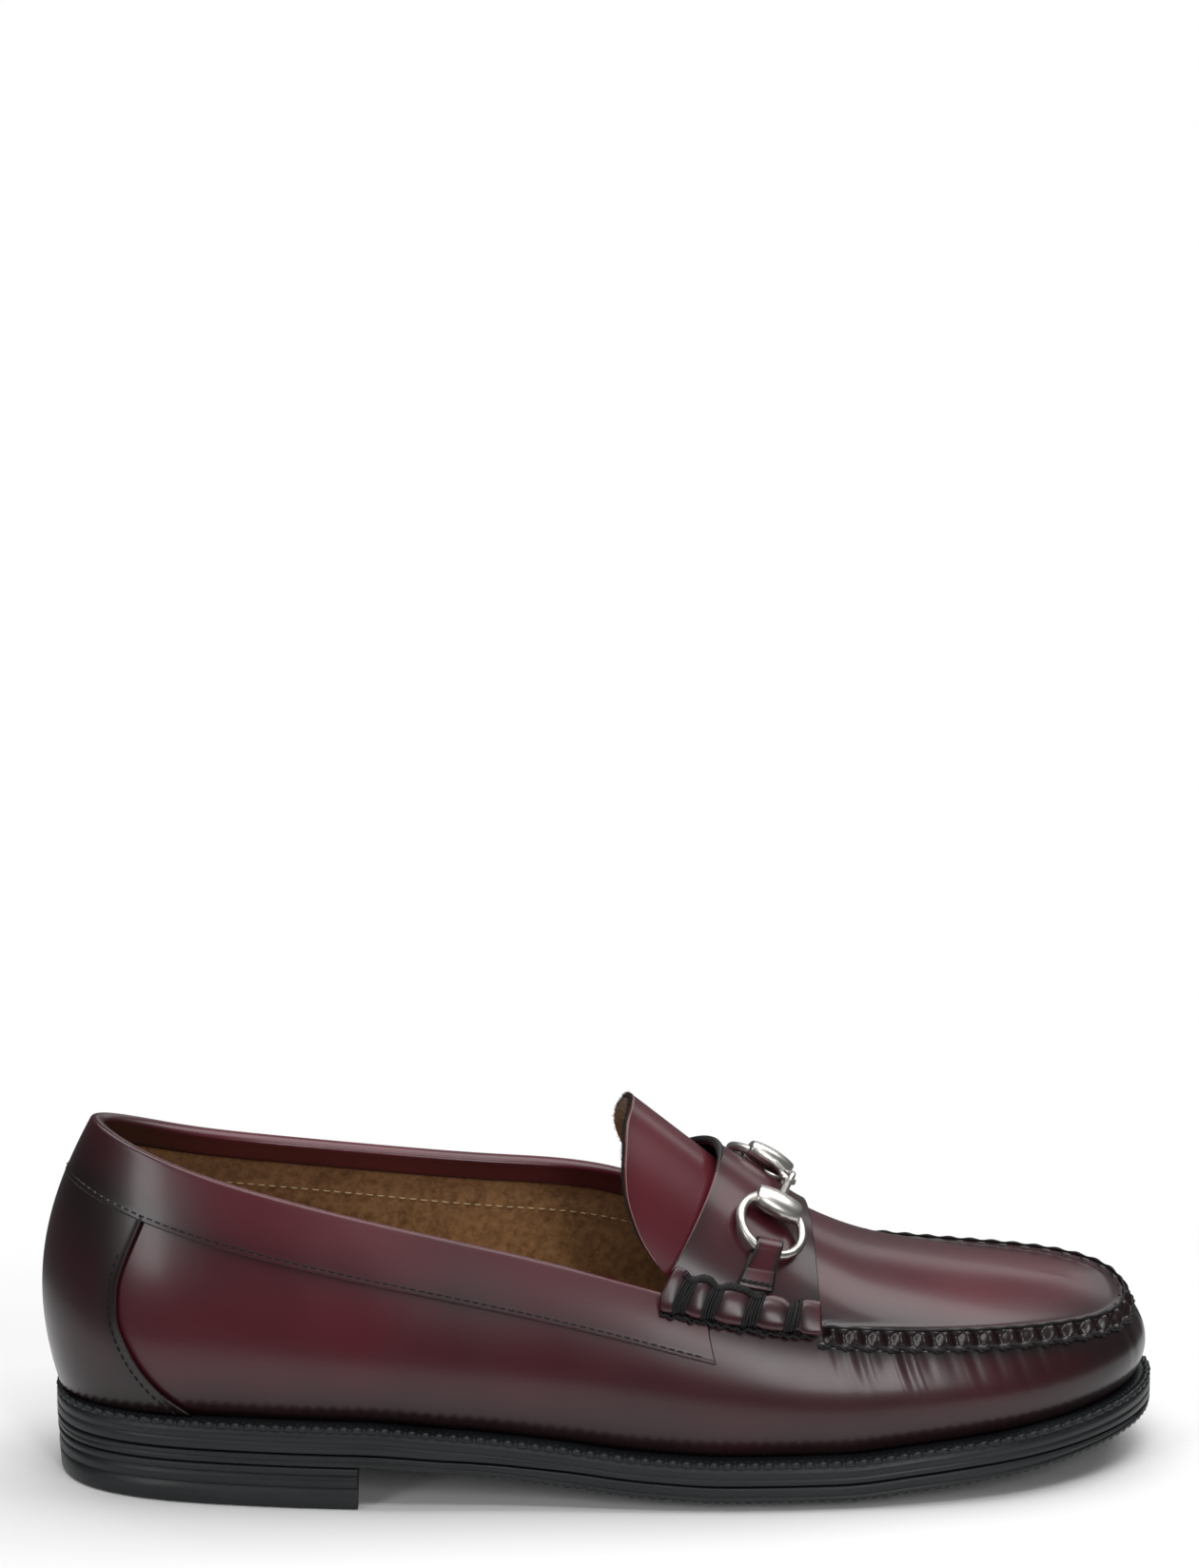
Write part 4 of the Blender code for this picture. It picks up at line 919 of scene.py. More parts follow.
# The plug: its two halves meet in a line at the toe, where the last rows are relaxed towards
# their neighbours so that no crease is left.
places = PLUG_START + (PLUG_END - PLUG_START) * np.linspace(0.0, 1.0, 181) ** 0.85
places[-1] = PLUG_END - 1e-4
angles = np.linspace(-1.0, 1.0, 121)
angles = np.sign(angles) * np.pi / 2 * (1 - (1 - np.abs(angles)) ** 1.25)
plug = plug_point(places[:, None], angles[None, :])
outer, inner = seam_ends(places)
for side, around in ((-1, outer), (1, inner)):
    edge = plug[:, 0 if side < 0 else -1]
    away = np.linalg.norm(plug - edge[:, None], axis=-1)
    near = np.exp(-((away / 0.0016) ** 2)) * (np.sign(angles)[None, :] == side)
    plug += top_lean(around)[:, None] * (seam_share(around)[:, None] * near * SEAM_RISE * 0.85)[..., None]
rows, columns = plug.shape[:2]
plug[-1] = (plug[-1] + plug[-1, ::-1]) / 2
weight = 0.25 * np.linspace(0.0, 1.0, TOE_ROWS)[:, None, None]
for _ in range(TOE_ROUNDS):
    ahead = np.concatenate([plug[1:], plug[-2:-1, ::-1]])[-TOE_ROWS:]
    behind = plug[-TOE_ROWS - 1 : -1]
    shift = weight * (ahead + behind - 2 * plug[-TOE_ROWS:])
    shift[:, :5] *= np.linspace(0.0, 0.8, 5)[:, None]
    shift[:, -5:] *= np.linspace(0.8, 0.0, 5)[:, None]
    plug[-TOE_ROWS:] += shift
to_outer = np.linalg.norm(plug - plug[:, :1], axis=-1)
to_inner = np.linalg.norm(plug - plug[:, -1:], axis=-1)
dark = 0.24 + edge_dark(np.minimum(to_outer, to_inner), 0.007, 0.45)
dark += 0.15 * np.clip(1 - (places[:, None] / 4), 0, 1)
upper_plug = mesh_object(
    "upper_plug", plug, grid_quads(rows, columns), [leather, suede], True, dark
)
solidify(upper_plug, SKIN_WALL, 1)
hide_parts("upper")


# The hand sewing of the plug: thick black waxed thread, laid along both edges of the gathered band.
# A thin cord closes the plug's edge and a braided chain runs along the band's foot.

THREAD = 0.00040
EDGE_CORD = 0.00030
FIBRES_PER_METRE = 2400.0


def thread_material():
    """Black waxed thread: dark grey fibres of 0.4 mm with a dull wax shine and a twisted bump."""
    made, tree, shader = new_material("black waxed thread", "#0e0d0e", 0.55, Specular_IOR_Level=0.3)
    where = node(tree, "ShaderNodeTexCoord").outputs["Object"]
    fibre = node(
        tree, "ShaderNodeTexNoise", {"Scale": FIBRES_PER_METRE, "Detail": 3.0}, {"Vector": where}
    ).outputs["Fac"]
    node(
        tree, "ShaderNodeValToRGB", {"stops": ((0.35, "#070607"), (0.7, "#1b191a"))},
        {"Fac": fibre}, shader.inputs["Base Color"],
    )
    node(
        tree, "ShaderNodeBump", {"Strength": 0.7, "Distance": 0.0002}, {"Height": fibre},
        shader.inputs["Normal"],
    )
    return made


thread = thread_material()


def tube_rings(path, along, up, radius, sides):
    """Rings of points round paths shaped (..., stations, 3): each ring is a circle across the
    path's direction, whose first point lies to the side of up."""
    along = along / np.linalg.norm(along, axis=-1, keepdims=True)
    side = np.cross(along, up)
    side /= np.linalg.norm(side, axis=-1, keepdims=True)
    rise = np.cross(side, along)
    turn = np.linspace(0.0, 2 * np.pi, sides, endpoint=False)[:, None]
    radius = np.broadcast_to(radius, path.shape[:-1])[..., None, None]
    ring = np.cos(turn) * side[..., None, :] + np.sin(turn) * rise[..., None, :]
    return path[..., None, :] + ring * radius


def tubes_object(name, path, up, radius, material, sides=8):
    """One object of tubes along paths shaped (tubes, stations, 3). Both ends close to a point."""
    rings = tube_rings(path, np.gradient(path, axis=-2), np.broadcast_to(up, path.shape), radius, sides)
    first, last = (np.repeat(path[:, end, None, None], sides, 2) for end in (0, -1))
    rings = np.concatenate([first, rings, last], 1)
    count, stations = rings.shape[:2]
    one = grid_quads(stations, sides, False, True)
    quads = (one[None] + (np.arange(count) * stations * sides)[:, None, None]).reshape(-1, 4)
    return mesh_object(name, rings, quads, [material], True)


def resampled(path, up, pitch):
    """Points and up directions at an even pitch along a path."""
    run = np.concatenate([[0.0], np.cumsum(np.linalg.norm(np.diff(path, axis=0), axis=1))])
    at = np.arange(0.0, run[-1], pitch)
    points = np.stack([np.interp(at, run, path[:, i]) for i in range(3)], 1)
    ups = np.stack([np.interp(at, run, up[:, i]) for i in range(3)], 1)
    return points, ups / np.linalg.norm(ups, axis=1, keepdims=True)


STITCH_STEPS = 12
STITCH_POINTS = 7
STITCH_SINK = 0.4


def stitches(name, path, up, pitch, radius, material, length=0.74):
    """A row of stitches along a path, at a pitch and of thread of a radius: each is a share of
    the pitch long, arches over by the square of the place along it and dives in at both ends by
    its fourth power."""
    points, ups = resampled(path, up, pitch / STITCH_STEPS)
    count, half = (len(points) - 1) // STITCH_STEPS, STITCH_STEPS / 2
    t = np.linspace(-1.0, 1.0, STITCH_POINTS)
    index = (np.arange(count) * STITCH_STEPS)[:, None] + half + half * length * t[None, :]
    steps = np.arange(len(points))
    line = np.stack([np.interp(index, steps, points[:, i]) for i in range(3)], -1)
    normal = np.stack([np.interp(index, steps, ups[:, i]) for i in range(3)], -1)
    line = line + normal * (radius * (0.7 * (1 - t**2) - STITCH_SINK * t**4))[None, :, None]
    width = radius * (0.45 + 0.55 * (1 - t**4))
    return tubes_object(name, line, normal, width[None, :], material, 6)


seam = np.linspace(seam_start + 0.002, seam_end - 0.002, 1500)
count = pleat_count(seam)
lean = top_lean(seam)
top = wall_point(seam, 1.0)
here = seam_share(seam)
wobble = 0.5 + 0.5 * np.cos(2 * np.pi * count)
path = top + lean * ((SEAM_RISE + 0.0001 + 0.0002 * wobble) * here)[:, None]
cord = tubes_object("plug_edge_cord", path[None], lean[None], EDGE_CORD * (0.8 + 0.7 * wobble)[None], thread)
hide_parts("upper")

speed = np.linalg.norm(wall_point(seam, 1.0) - wall_point(seam, 0.998), axis=-1) / 0.002
chain, ups = [], []
for strand in (0, 1):
    turn = 2 * np.pi * count * 1.5 + np.pi * strand
    drop = BAND_DROP + 0.00035 * np.sin(turn) - 0.00045 * np.cos(2 * np.pi * count)
    height = 1 - drop / speed
    lift = 0.00030 + 0.00022 * np.cos(turn) + 0.10 * SEAM_RISE
    chain.append(wall_lifted(seam, height, lift))
    ups.append(normal_of(wall_point, seam, height))
cord = tubes_object("band_foot_chain", np.array(chain), np.array(ups), THREAD, thread)
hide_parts("upper")


# The insole: a thin board covered in the lining's suede. It is cut to the inside of the wall's
# foot and rests on the lasting margin.

INSOLE = 0.0026

inset = -float(np.max(WALL_SIZES[:, 2])) - WALL - 2 * GAP


def insole_foot(x):
    """Height of the insole's underside, a gap above the lasting margin."""
    return sole_top(x) + 2 * GAP + WALL


insole = sole_layer(
    "insole_sock",
    [
        side_row(inset, insole_foot),
        side_row(inset, insole_foot, INSOLE - 0.0007),
        side_row(inset - 0.0002, insole_foot, INSOLE - 0.0002),
        side_row(inset - 0.0008, insole_foot, INSOLE),
    ],
    lambda x, across: insole_foot(x), lambda x, across: insole_foot(x) + INSOLE, suede, pairs=200,
)
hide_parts("insole")


# The heel counter: a patch of the same leather over the back seam, stitched down in black along
# its two front edges, with its top under the collar and its foot in the welt.

COUNTER_LEATHER = 0.0008
COUNTER_HEIGHT = (0.0, 0.12, 0.30, 0.50, 0.70, 1.0)
COUNTER_EDGE = (0.080, 0.068, 0.056, 0.047, 0.044, 0.046)
COUNTER_STITCH = (0.0023, 0.00022)
COLLAR_WIDTH = 0.0168


def top_speed(around):
    """Metres of the wall's section per unit of height, at its top edge."""
    return np.linalg.norm(wall_point(around, 1.0) - wall_point(around, 0.999), axis=-1) / 0.001


def collar_low(around):
    """Height up the wall of the collar's lower seam."""
    return 1 - COLLAR_WIDTH / top_speed(around)


heights = np.linspace(0.0, 1.0, 61)
edge = smooth_through(heights, COUNTER_HEIGHT, COUNTER_EDGE)
side = np.linspace(-1.0, 1.0, 161)
around = side[:, None] * edge[None, :]
top = collar_low(around) + 0.02
level = 0.006 + (top - 0.006) * heights[None, :]
from_edge = (1 - np.abs(side))[:, None] * 0.055
lift = 1.5 * GAP + COUNTER_LEATHER + 0.0002 * np.exp(-((from_edge / 0.0015) ** 2))
skin = wall_lifted(around, level, lift)
# Darker at the front edges and at the top from the brushed-off finish, and painted shade at the foot by the
# welt.
dark = 0.55 + edge_dark(from_edge, 0.006, 0.35)
dark = dark + edge_dark(heights * 0.08, 0.012, 0.4) + edge_dark((1 - heights) * 0.06, 0.008, 0.3)
counter = mesh_object(
    "heel_counter_patch", skin, grid_quads(*skin.shape[:2]), [leather, leather], burnish=dark
)
solidify(counter, COUNTER_LEATHER)
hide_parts("heel_counter")
for word, column in (("lateral", 154), ("medial", 6)):
    line = skin[column, :50]
    normal = normal_of(wall_point, around[column, :50], level[column, :50])
    row = stitches("counter_stitches_" + word, line, normal, *COUNTER_STITCH, thread)
    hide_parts("heel_counter")


# The collar: a strip of leather folded over the topline from its seam on the outside, round the rim
# and down onto the lining. It is stitched along its lower edge and its tails run on under the beef
# rolls, where they end square.

COLLAR_LEATHER = 0.0009
COLLAR_TURN_IN = 0.0065
COLLAR_END = 0.583
COLLAR_STITCH = (0.0024, 0.00021)
LINING_STITCH = (0.0030, 0.00022)
ROLL_REAR = 0.540

fold_x = place_at(ROLL_REAR) + 0.003
tail_x = place_at(COLLAR_END)
fold_ends = seam_place(fold_x, "inner") - 1, seam_place(fold_x, "outer")
tail_ends = seam_place(tail_x, "inner") - 1, seam_place(tail_x, "outer")


def collar_outside(around):
    """Rows of the collar from its lower edge up the outside, with a slightly raised lip."""
    share = np.concatenate([[0.0, 0.02, 0.05], np.linspace(0.09, 0.93, 15)])
    lip = 0.0002 * np.exp(-(((share - 0.03) / 0.03) ** 2))
    low = collar_low(around)[:, None]
    return wall_lifted(around[:, None], low + (1 - low) * share[None, :], GAP + COLLAR_LEATHER + lip[None, :])


def collar_fold(around):
    """Rows of the collar from the last outside one over the rim in a half circle and down the
    inside."""
    low, lift = collar_low(around), GAP + COLLAR_LEATHER
    top = wall_point(around, 1.0)
    out = normal_of(wall_point, around, np.ones(len(around)))
    rise = top - wall_point(around, 0.99)
    rise /= np.linalg.norm(rise, axis=-1, keepdims=True)
    turn = np.radians(np.linspace(0.0, 180.0, 13))[None, :, None]
    middle = top[:, None] - out[:, None] * WALL * (0.5 - 0.5 * np.cos(turn))
    rim = middle + (out[:, None] * np.cos(turn) + rise[:, None] * np.sin(turn)) * lift
    turned = COLLAR_TURN_IN / COLLAR_WIDTH * np.linspace(0.15, 1.0, 6)[None, :]
    inside = wall_lifted(around[:, None], 1 - (1 - low[:, None]) * turned, -(WALL + lift * 0.8))
    return np.concatenate([collar_outside(around)[:, -1:], rim, inside], 1)


stations = np.linspace(fold_ends[0], fold_ends[1], 481)
tails = [np.linspace(tail_ends[0], fold_ends[0], 30)[:-1], np.linspace(fold_ends[1], tail_ends[1], 30)[1:]]
around = np.concatenate([tails[0], stations, tails[1]])
outside, folded = collar_outside(around), collar_fold(stations)
points = np.concatenate([outside.reshape(-1, 3), folded.reshape(-1, 3)])
quads = np.concatenate([
    grid_quads(*outside.shape[:2]),
    grid_quads(*folded.shape[:2], start=outside.shape[0] * outside.shape[1]),
])
heel_dark = np.exp(-(((points[:, 0] + 0.035) / 0.030) ** 2))
front_dark = np.clip((points[:, 0] - 0.02) / 0.09, 0, 1)
low_edge_row = wall_lifted(around, collar_low(around), GAP + COLLAR_LEATHER)[len(around) // 2 :]
above = points[:, 2] - np.interp(points[:, 0], low_edge_row[:, 0], low_edge_row[:, 2])
dark = 0.08 + edge_dark(np.abs(above), 0.006, 0.35) + 0.45 * heel_dark + 0.15 * front_dark
collar = mesh_object("collar_band_leather", points, quads, [leather] * 2, True, dark)
solidify(collar, COLLAR_LEATHER)
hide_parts("collar_band")

line = np.linspace(tail_ends[0] + 0.002, tail_ends[1] - 0.002, 700)
height = 1 - (COLLAR_WIDTH - 0.0015) / top_speed(line)
normal = normal_of(wall_point, line, height)
seam_row = wall_lifted(line, height, GAP + COLLAR_LEATHER)
row = stitches("collar_stitches", seam_row, normal, *COLLAR_STITCH, thread)
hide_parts("collar_band")

pale_thread, _, _ = new_material("pale lining thread", "#c2ab85", 0.8)
for word, ends in (("lateral", (0.05, tail_ends[1] - 0.004)), ("medial", (-0.05, tail_ends[0] + 0.004))):
    line = np.linspace(*ends, 300)
    height = 1 - COLLAR_WIDTH / top_speed(line)
    normal = -normal_of(wall_point, line, height)
    inner_row = wall_lifted(line, height, -(SKIN_WALL + 0.00005))
    row = stitches("lining_stitches_" + word, inner_row, normal, *LINING_STITCH, pale_thread, 0.66)
    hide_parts("upper")


# The saddle strap: a band of leather over the instep, sewn in under the beef rolls. Its rear edge is
# cut raw and pale, its front edge inked dark, and at the ridge the rear edge is rolled and inked.

STRAP_LEATHER = 0.0016
STRAP_FRONT = 1.98
ROLL_RAISE = 0.0017
ROLL_REACH_REAR = 0.0066
ROLL_REACH_FRONT = 0.0038


SIGN = {"outer": -1.0, "inner": 1.0}


def beside(side, place, distance, lift):
    """Points lifted off the skin at a distance from the seam, for arrays of one shape: up on the
    plug where the distance is positive and down the wall where it is negative."""
    sign = SIGN[side]
    place, distance, lift = np.broadcast_arrays(np.asarray(place, float), distance, lift)
    stations = np.linspace(0.0, 1.0, 81)
    flat_place, flat_distance = place.ravel(), distance.ravel()
    plug_angles = sign * np.radians(90.0 - 75.0 * stations)
    around = seam_ends(flat_place)[0 if side == "outer" else 1]
    plug_path = plug_point(flat_place[:, None], plug_angles[None, :])
    wall_path = wall_point(around[:, None], 1 - 0.8 * stations[None, :])
    shares = []
    for path, wanted in ((plug_path, flat_distance), (wall_path, -flat_distance)):
        run = np.cumsum(np.linalg.norm(np.diff(path, axis=1), axis=-1), axis=1)
        run = np.concatenate([np.zeros((len(run), 1)), run], 1)
        wanted = np.clip(wanted, 0, None)[:, None]
        index = np.clip((run < wanted).sum(1) - 1, 0, 79)[:, None]
        low, high = np.take_along_axis(run, index, 1), np.take_along_axis(run, index + 1, 1)
        shares.append(((index + (wanted - low) / (high - low)) / 80)[:, 0])
    on_plug = plug_lifted(flat_place, sign * np.radians(90.0 - 75.0 * shares[0]), lift.ravel())
    on_wall = wall_lifted(around, 1 - 0.8 * shares[1], lift.ravel())
    blend = np.clip(flat_distance / 0.0016 * 0.5 + 0.5, 0, 1)[:, None]
    blend = blend * blend * (3 - 2 * blend)
    return (on_wall + blend * (on_plug - on_wall)).reshape(*place.shape, 3)


def angle_from_seam(side, place, distance):
    """The plug's angle at a distance inside the seam, for arrays of one shape."""
    sign = SIGN[side]
    angles = sign * np.radians(np.linspace(90.0, 15.0, 81))
    path = plug_point(place[:, None], angles[None, :])
    run = np.cumsum(np.linalg.norm(np.diff(path, axis=1), axis=-1), axis=1)
    run = np.concatenate([np.zeros((len(run), 1)), run], 1)
    index = (run < distance[:, None]).sum(1) - 1
    low = np.take_along_axis(run, index[:, None], 1)[:, 0]
    high = np.take_along_axis(run, index[:, None] + 1, 1)[:, 0]
    return angles[0] + (angles[1] - angles[0]) * (index + (distance - low) / (high - low))


roll_ends = np.interp((ROLL_REAR, ROLL_FRONT), [row[0] for row in PLUG_SECTIONS], np.arange(8))


def roll_reach(place):
    """Half the beef roll's height at a place along the plug."""
    share = np.clip((place - roll_ends[0]) / (roll_ends[1] - roll_ends[0]), 0.0, 1.0)
    return ROLL_REACH_REAR + (ROLL_REACH_FRONT - ROLL_REACH_REAR) * share


places = np.concatenate([
    [0.0, 0.012], np.linspace(0.03, STRAP_FRONT - 0.03, 45), [STRAP_FRONT - 0.01, STRAP_FRONT],
])
tucked = ROLL_RAISE + 0.82 * roll_reach(places)
first, last = (angle_from_seam(side, places, tucked) for side in ("outer", "inner"))
share = np.linspace(0.0, 1.0, 141)
angles = first[:, None] * (1 - share) + last[:, None] * share
skin = plug_lifted(places[:, None], angles, GAP + STRAP_LEATHER)
rows, columns = skin.shape[:2]
depth = places[:, None]
dark = 0.28 + edge_dark(depth * 0.02, 0.003, 0.2) + edge_dark((STRAP_FRONT - depth) * 0.02, 0.005, 0.35)
dark = dark + edge_dark(np.minimum(share, 1 - share) * 0.09, 0.010, 0.30)
strap = mesh_object(
    "saddle_strap_leather", skin, grid_quads(rows, columns),
    [leather, leather, cut_edge, ink], burnish=dark,
)
front_faces = np.zeros((rows - 1, columns - 1), np.int32)
front_faces[rows // 2 :] = 1
strap.data.polygons.foreach_set("material_index", front_faces.ravel())
solidify(strap, STRAP_LEATHER, 0, 2)
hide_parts("saddle_strap")

turn = np.radians(np.linspace(-20.0, 40.0, 80))
edge = plug_lifted(np.zeros(80), turn, GAP + STRAP_LEATHER * 0.75)
up = normal_of(plug_point, np.zeros(80), turn)
fat = 0.00020 + 0.0009 * np.exp(-((np.clip(-turn, 0, None) / 0.20) ** 2))
fold = tubes_object("strap_rolled_edge", edge[None], up[None], fat[None], ink, 12)
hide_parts("saddle_strap")


# The tongue: a flap of the same leather that rises out of the throat in one broad curve, smooth
# outside, suede inside, its edge cut raw with a fuzz of suede fibres and a thin pale line.

TONGUE_LEATHER = 0.0018
TONGUE_LENGTH = 0.0357
TONGUE_FAR_SHARE = 0.07
TONGUE_SLOPE = np.radians(39.0)
TONGUE_EDGE_DEGREES = (0.0, 23.0, 43.0, 57.0, 72.0, 83.0, 90.0)
TONGUE_EDGE_SHARE = (1.0, 1.03, 0.97, 0.875, 0.655, 0.39, 0.18)
TONGUE_FOOT = 2.0
FUZZ_HAIRS = 1500
HAIR = 0.00004

dark_suede, _, _ = new_material("dark brushed cut edge", "#2b1c12", 0.95)
angles = np.radians(np.linspace(-84.0, 84.0, 141))
hidden = [
    plug_lifted(np.full(141, place), angles, -(WALL + 3 * GAP))
    for place in np.linspace(TONGUE_FOOT, PLUG_START + 0.1, 9)
]
length = TONGUE_LENGTH * smooth_through(np.abs(np.degrees(angles)), TONGUE_EDGE_DEGREES, TONGUE_EDGE_SHARE)
length = length * (1 - TONGUE_FAR_SHARE * np.clip(angles / np.radians(30.0), 0.0, 1.0))
slope = np.array([-np.cos(TONGUE_SLOPE), 0.0, np.sin(TONGUE_SLOPE)])
steps = np.concatenate([np.linspace(0.0, 0.97, 36)[1:], [0.985, 1.0]])
free = [hidden[-1] + slope * length[:, None] * t for t in steps]
skin = np.stack(hidden + free, 0)[::-1]
rows, columns = skin.shape[:2]
rim_share = np.concatenate([np.ones(len(hidden)), 1 - steps])[::-1, None]
tongue = mesh_object(
    "tongue_leather", skin, grid_quads(rows, columns), [leather, suede, dark_suede],
    burnish=0.10 + edge_dark(rim_share * 0.03, 0.002, 0.25),
)
solidify(tongue, TONGUE_LEATHER, 1, 2)
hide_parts("tongue")

rim = skin[1]
rim_up = np.gradient(rim, axis=0)
rim_up = np.cross(rim_up, -slope)
rim_up /= np.linalg.norm(rim_up, axis=1, keepdims=True)
pale = tubes_object("tongue_pale_edge", rim[None, 2:-2], rim_up[None, 2:-2], 0.00013, cut_edge, 6)
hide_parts("tongue")

rng = np.random.default_rng(5)
count = FUZZ_HAIRS
along = rng.random(count) * 0.98 + 0.01
index = along * (columns - 1)
base = np.stack([np.interp(index, np.arange(columns), skin[0][:, i]) for i in range(3)], 1)
inward = -np.stack([np.interp(index, np.arange(columns), rim_up[:, i]) for i in range(3)], 1)
inward *= np.sign((inward * (base - base.mean(0))).sum(1, keepdims=True)) * -1
depth = rng.random(count)[:, None] * TONGUE_LEATHER
stray = rng.normal(size=(count, 3)) * 0.35 + slope
stray /= np.linalg.norm(stray, axis=1, keepdims=True)
reach = (0.0003 + 0.0006 * rng.random(count) ** 2)[:, None]
start = base + inward * depth
bend = rng.normal(size=(count, 3)) * 0.00012
hairs = np.stack([start - slope * 0.0002, start + stray * reach * 0.5, start + stray * reach + bend], 1)
fuzz = tubes_object("tongue_edge_fuzz", hairs, np.array([0.0, 0.9, 0.1]), HAIR, dark_suede, 3)
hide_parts("tongue")


# The beef rolls: the strap's ends are whipped to the collar with waxed thread over a rolled core of
# leather. Four bindings draw each roll in, a rope of thread lies along its top, a tangle of thread
# along its foot, and the last stretch is a square block.

ROLL_HEIGHT = 0.0040
ROLL_BINDINGS = (0.14, 0.33, 0.59, 0.83)
ROLL_PUFF = 1.03
ROLL_PINCH = 0.24
ROLL_PINCH_REACH = 0.050
ROLL_BLOCK_START = 0.86
ROPE = 0.00042
WHIPPING = 0.00038
TURNS = 5
ROLL_STATIONS = np.linspace(0.0, 1.05, 58)
ROLL_END_ROWS = ((0, 0.0), (1, 0.90), (2, 0.98), (-1, 0.0), (-2, 0.90), (-3, 0.98))
SIDES = (("outer", "lateral"), ("inner", "medial"))


def roll_frames(side):
    """Points of the roll's middle surface at its foot, centre and top along its length."""
    place = roll_ends[0] + (roll_ends[1] - roll_ends[0]) * ROLL_STATIONS
    middle = 2 * GAP + COLLAR_LEATHER + ROLL_HEIGHT / 2
    return [beside(side, place, ROLL_RAISE + k * roll_reach(place), middle) for k in (-1, 0, 1)]


def roll_surface(side, share, turn, lift=0.0):
    """A point of the roll at a share of its length and an angle round it: an ellipse bent over
    the seam, drawn in at the bindings, and squarer ahead of the last one."""
    share, turn = np.broadcast_arrays(np.asarray(share, float), np.asarray(turn, float))
    near = np.min(np.abs(share[..., None] - np.array(ROLL_BINDINGS)), -1)
    puff = ROLL_PUFF - ROLL_PINCH * np.exp(-((near / ROLL_PINCH_REACH) ** 2))
    block = np.clip((share - ROLL_BLOCK_START) / 0.02, 0, 1)
    power = 0.95 - 0.50 * block
    half = ROLL_HEIGHT / 2 * (puff + 0.04 * block)
    place = roll_ends[0] + (roll_ends[1] - roll_ends[0]) * share
    reach = roll_reach(place)
    low, centre, high = (
        np.stack([np.interp(share, ROLL_STATIONS, row[:, i]) for i in range(3)], -1)
        for row in ROLL_ROWS[side]
    )
    small = 0.01
    ahead, behind = (
        np.stack([np.interp(share + d, ROLL_STATIONS, ROLL_ROWS[side][1][:, i]) for i in range(3)], -1)
        for d in (small, -small)
    )
    across = np.sign(np.cos(turn)) * np.abs(np.cos(turn)) ** power * (puff + 0.10 * block + lift / reach)
    above = np.sign(np.sin(turn)) * np.abs(np.sin(turn)) ** power * (half + lift)
    t = across[..., None]
    slope, curve = (high - low) / 2, (high + low) / 2 - centre
    spot = centre + slope * t + curve * t**2
    normal = np.cross(ahead - behind, slope + 2 * curve * t)
    normal /= np.linalg.norm(normal, axis=-1, keepdims=True)
    normal *= -SIGN[side]
    return spot + normal * above[..., None]


ROLL_ROWS = {side: roll_frames(side) for side, _ in SIDES}

for side, word in SIDES:
    share = np.concatenate([[0.0, 0.0, 0.004], np.linspace(0.012, 0.988, 118), [0.996, 1.0, 1.0]])
    turn = np.linspace(0.0, 2 * np.pi, 40, endpoint=False)
    rings = roll_surface(side, share[:, None], turn[None, :])
    for end, scale in ROLL_END_ROWS:
        middle = rings[end].mean(0)
        rings[end] = middle + (rings[end] - middle) * scale
    rows, columns = rings.shape[:2]
    quads = grid_quads(rows, columns, False, True)
    # Darker by the bindings: painted shade in the necks where they draw the roll in.
    ends = roll_surface(side, np.array(ROLL_BINDINGS), np.full(len(ROLL_BINDINGS), np.pi / 2))
    gap = np.linalg.norm(rings[..., None, :] - ends, axis=-1).min(-1)
    dark = 0.38 + edge_dark(gap - 0.002, 0.002, 0.35)
    roll = mesh_object("beef_roll_leather_" + word, rings, quads, [leather], True, dark)
    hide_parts("beef_roll_" + word)

    wound = np.linspace(0.0, TURNS * 2 * np.pi, TURNS * 40)
    paths, ups = [], []
    for number, binding in enumerate(ROLL_BINDINGS):
        step = 0.021 if number < 3 else 0.016
        lean = 0.020 * np.cos(wound)
        jitter = 0.002 * np.sin(wound * 0.37 + number)
        share = binding + (wound / (2 * np.pi) - TURNS / 2) * step * 0.9 + lean + jitter
        paths.append(roll_surface(side, share, wound, WHIPPING * 0.55))
        middle = roll_surface(side, share, wound, -0.001)
        ups.append(paths[-1] - middle)
    paths, ups = np.array(paths), np.array(ups)
    ups /= np.linalg.norm(ups, axis=-1, keepdims=True)
    whip = tubes_object("roll_bindings_" + word, paths, ups, WHIPPING, thread, 8)
    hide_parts("beef_roll_" + word)

    run = np.linspace(0.08, 0.62, 260)
    twist = run * 190.0
    strands = []
    for phase in (0.0, np.pi):
        across = 0.55 + 0.16 * np.cos(twist + phase)
        strands.append(roll_surface(side, run, across, 0.00035 + 0.00025 * np.sin(twist + phase)))
    foot_run = np.linspace(0.002, 0.96, 320)
    foot_place = roll_ends[0] + (roll_ends[1] - roll_ends[0]) * foot_run
    for phase in (0.0, 2.1, 4.2):
        wave = 0.0004 * np.sin(foot_run * 95 + phase) + 0.0003 * np.sin(foot_run * 41 + 2 * phase)
        low = ROLL_RAISE - roll_reach(foot_place) * 0.97 + wave - 0.0002 * phase
        strands.append(beside(side, foot_place, low, GAP + COLLAR_LEATHER + 0.0006 + 0.0002 * phase))
    for number, strand in enumerate(strands):
        up = np.array([0.0, SIGN[side], 0.6])
        name = f"roll_rope_{word}_{number}"
        rope = tubes_object(name, strand[None], up, ROPE, thread, 8)
        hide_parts("beef_roll_" + word)


# The bit: two cast halves in antiqued silver, each a ring with a pillow-shaped shell across it, a
# neck and an eye, hooked into each other over the ridge.

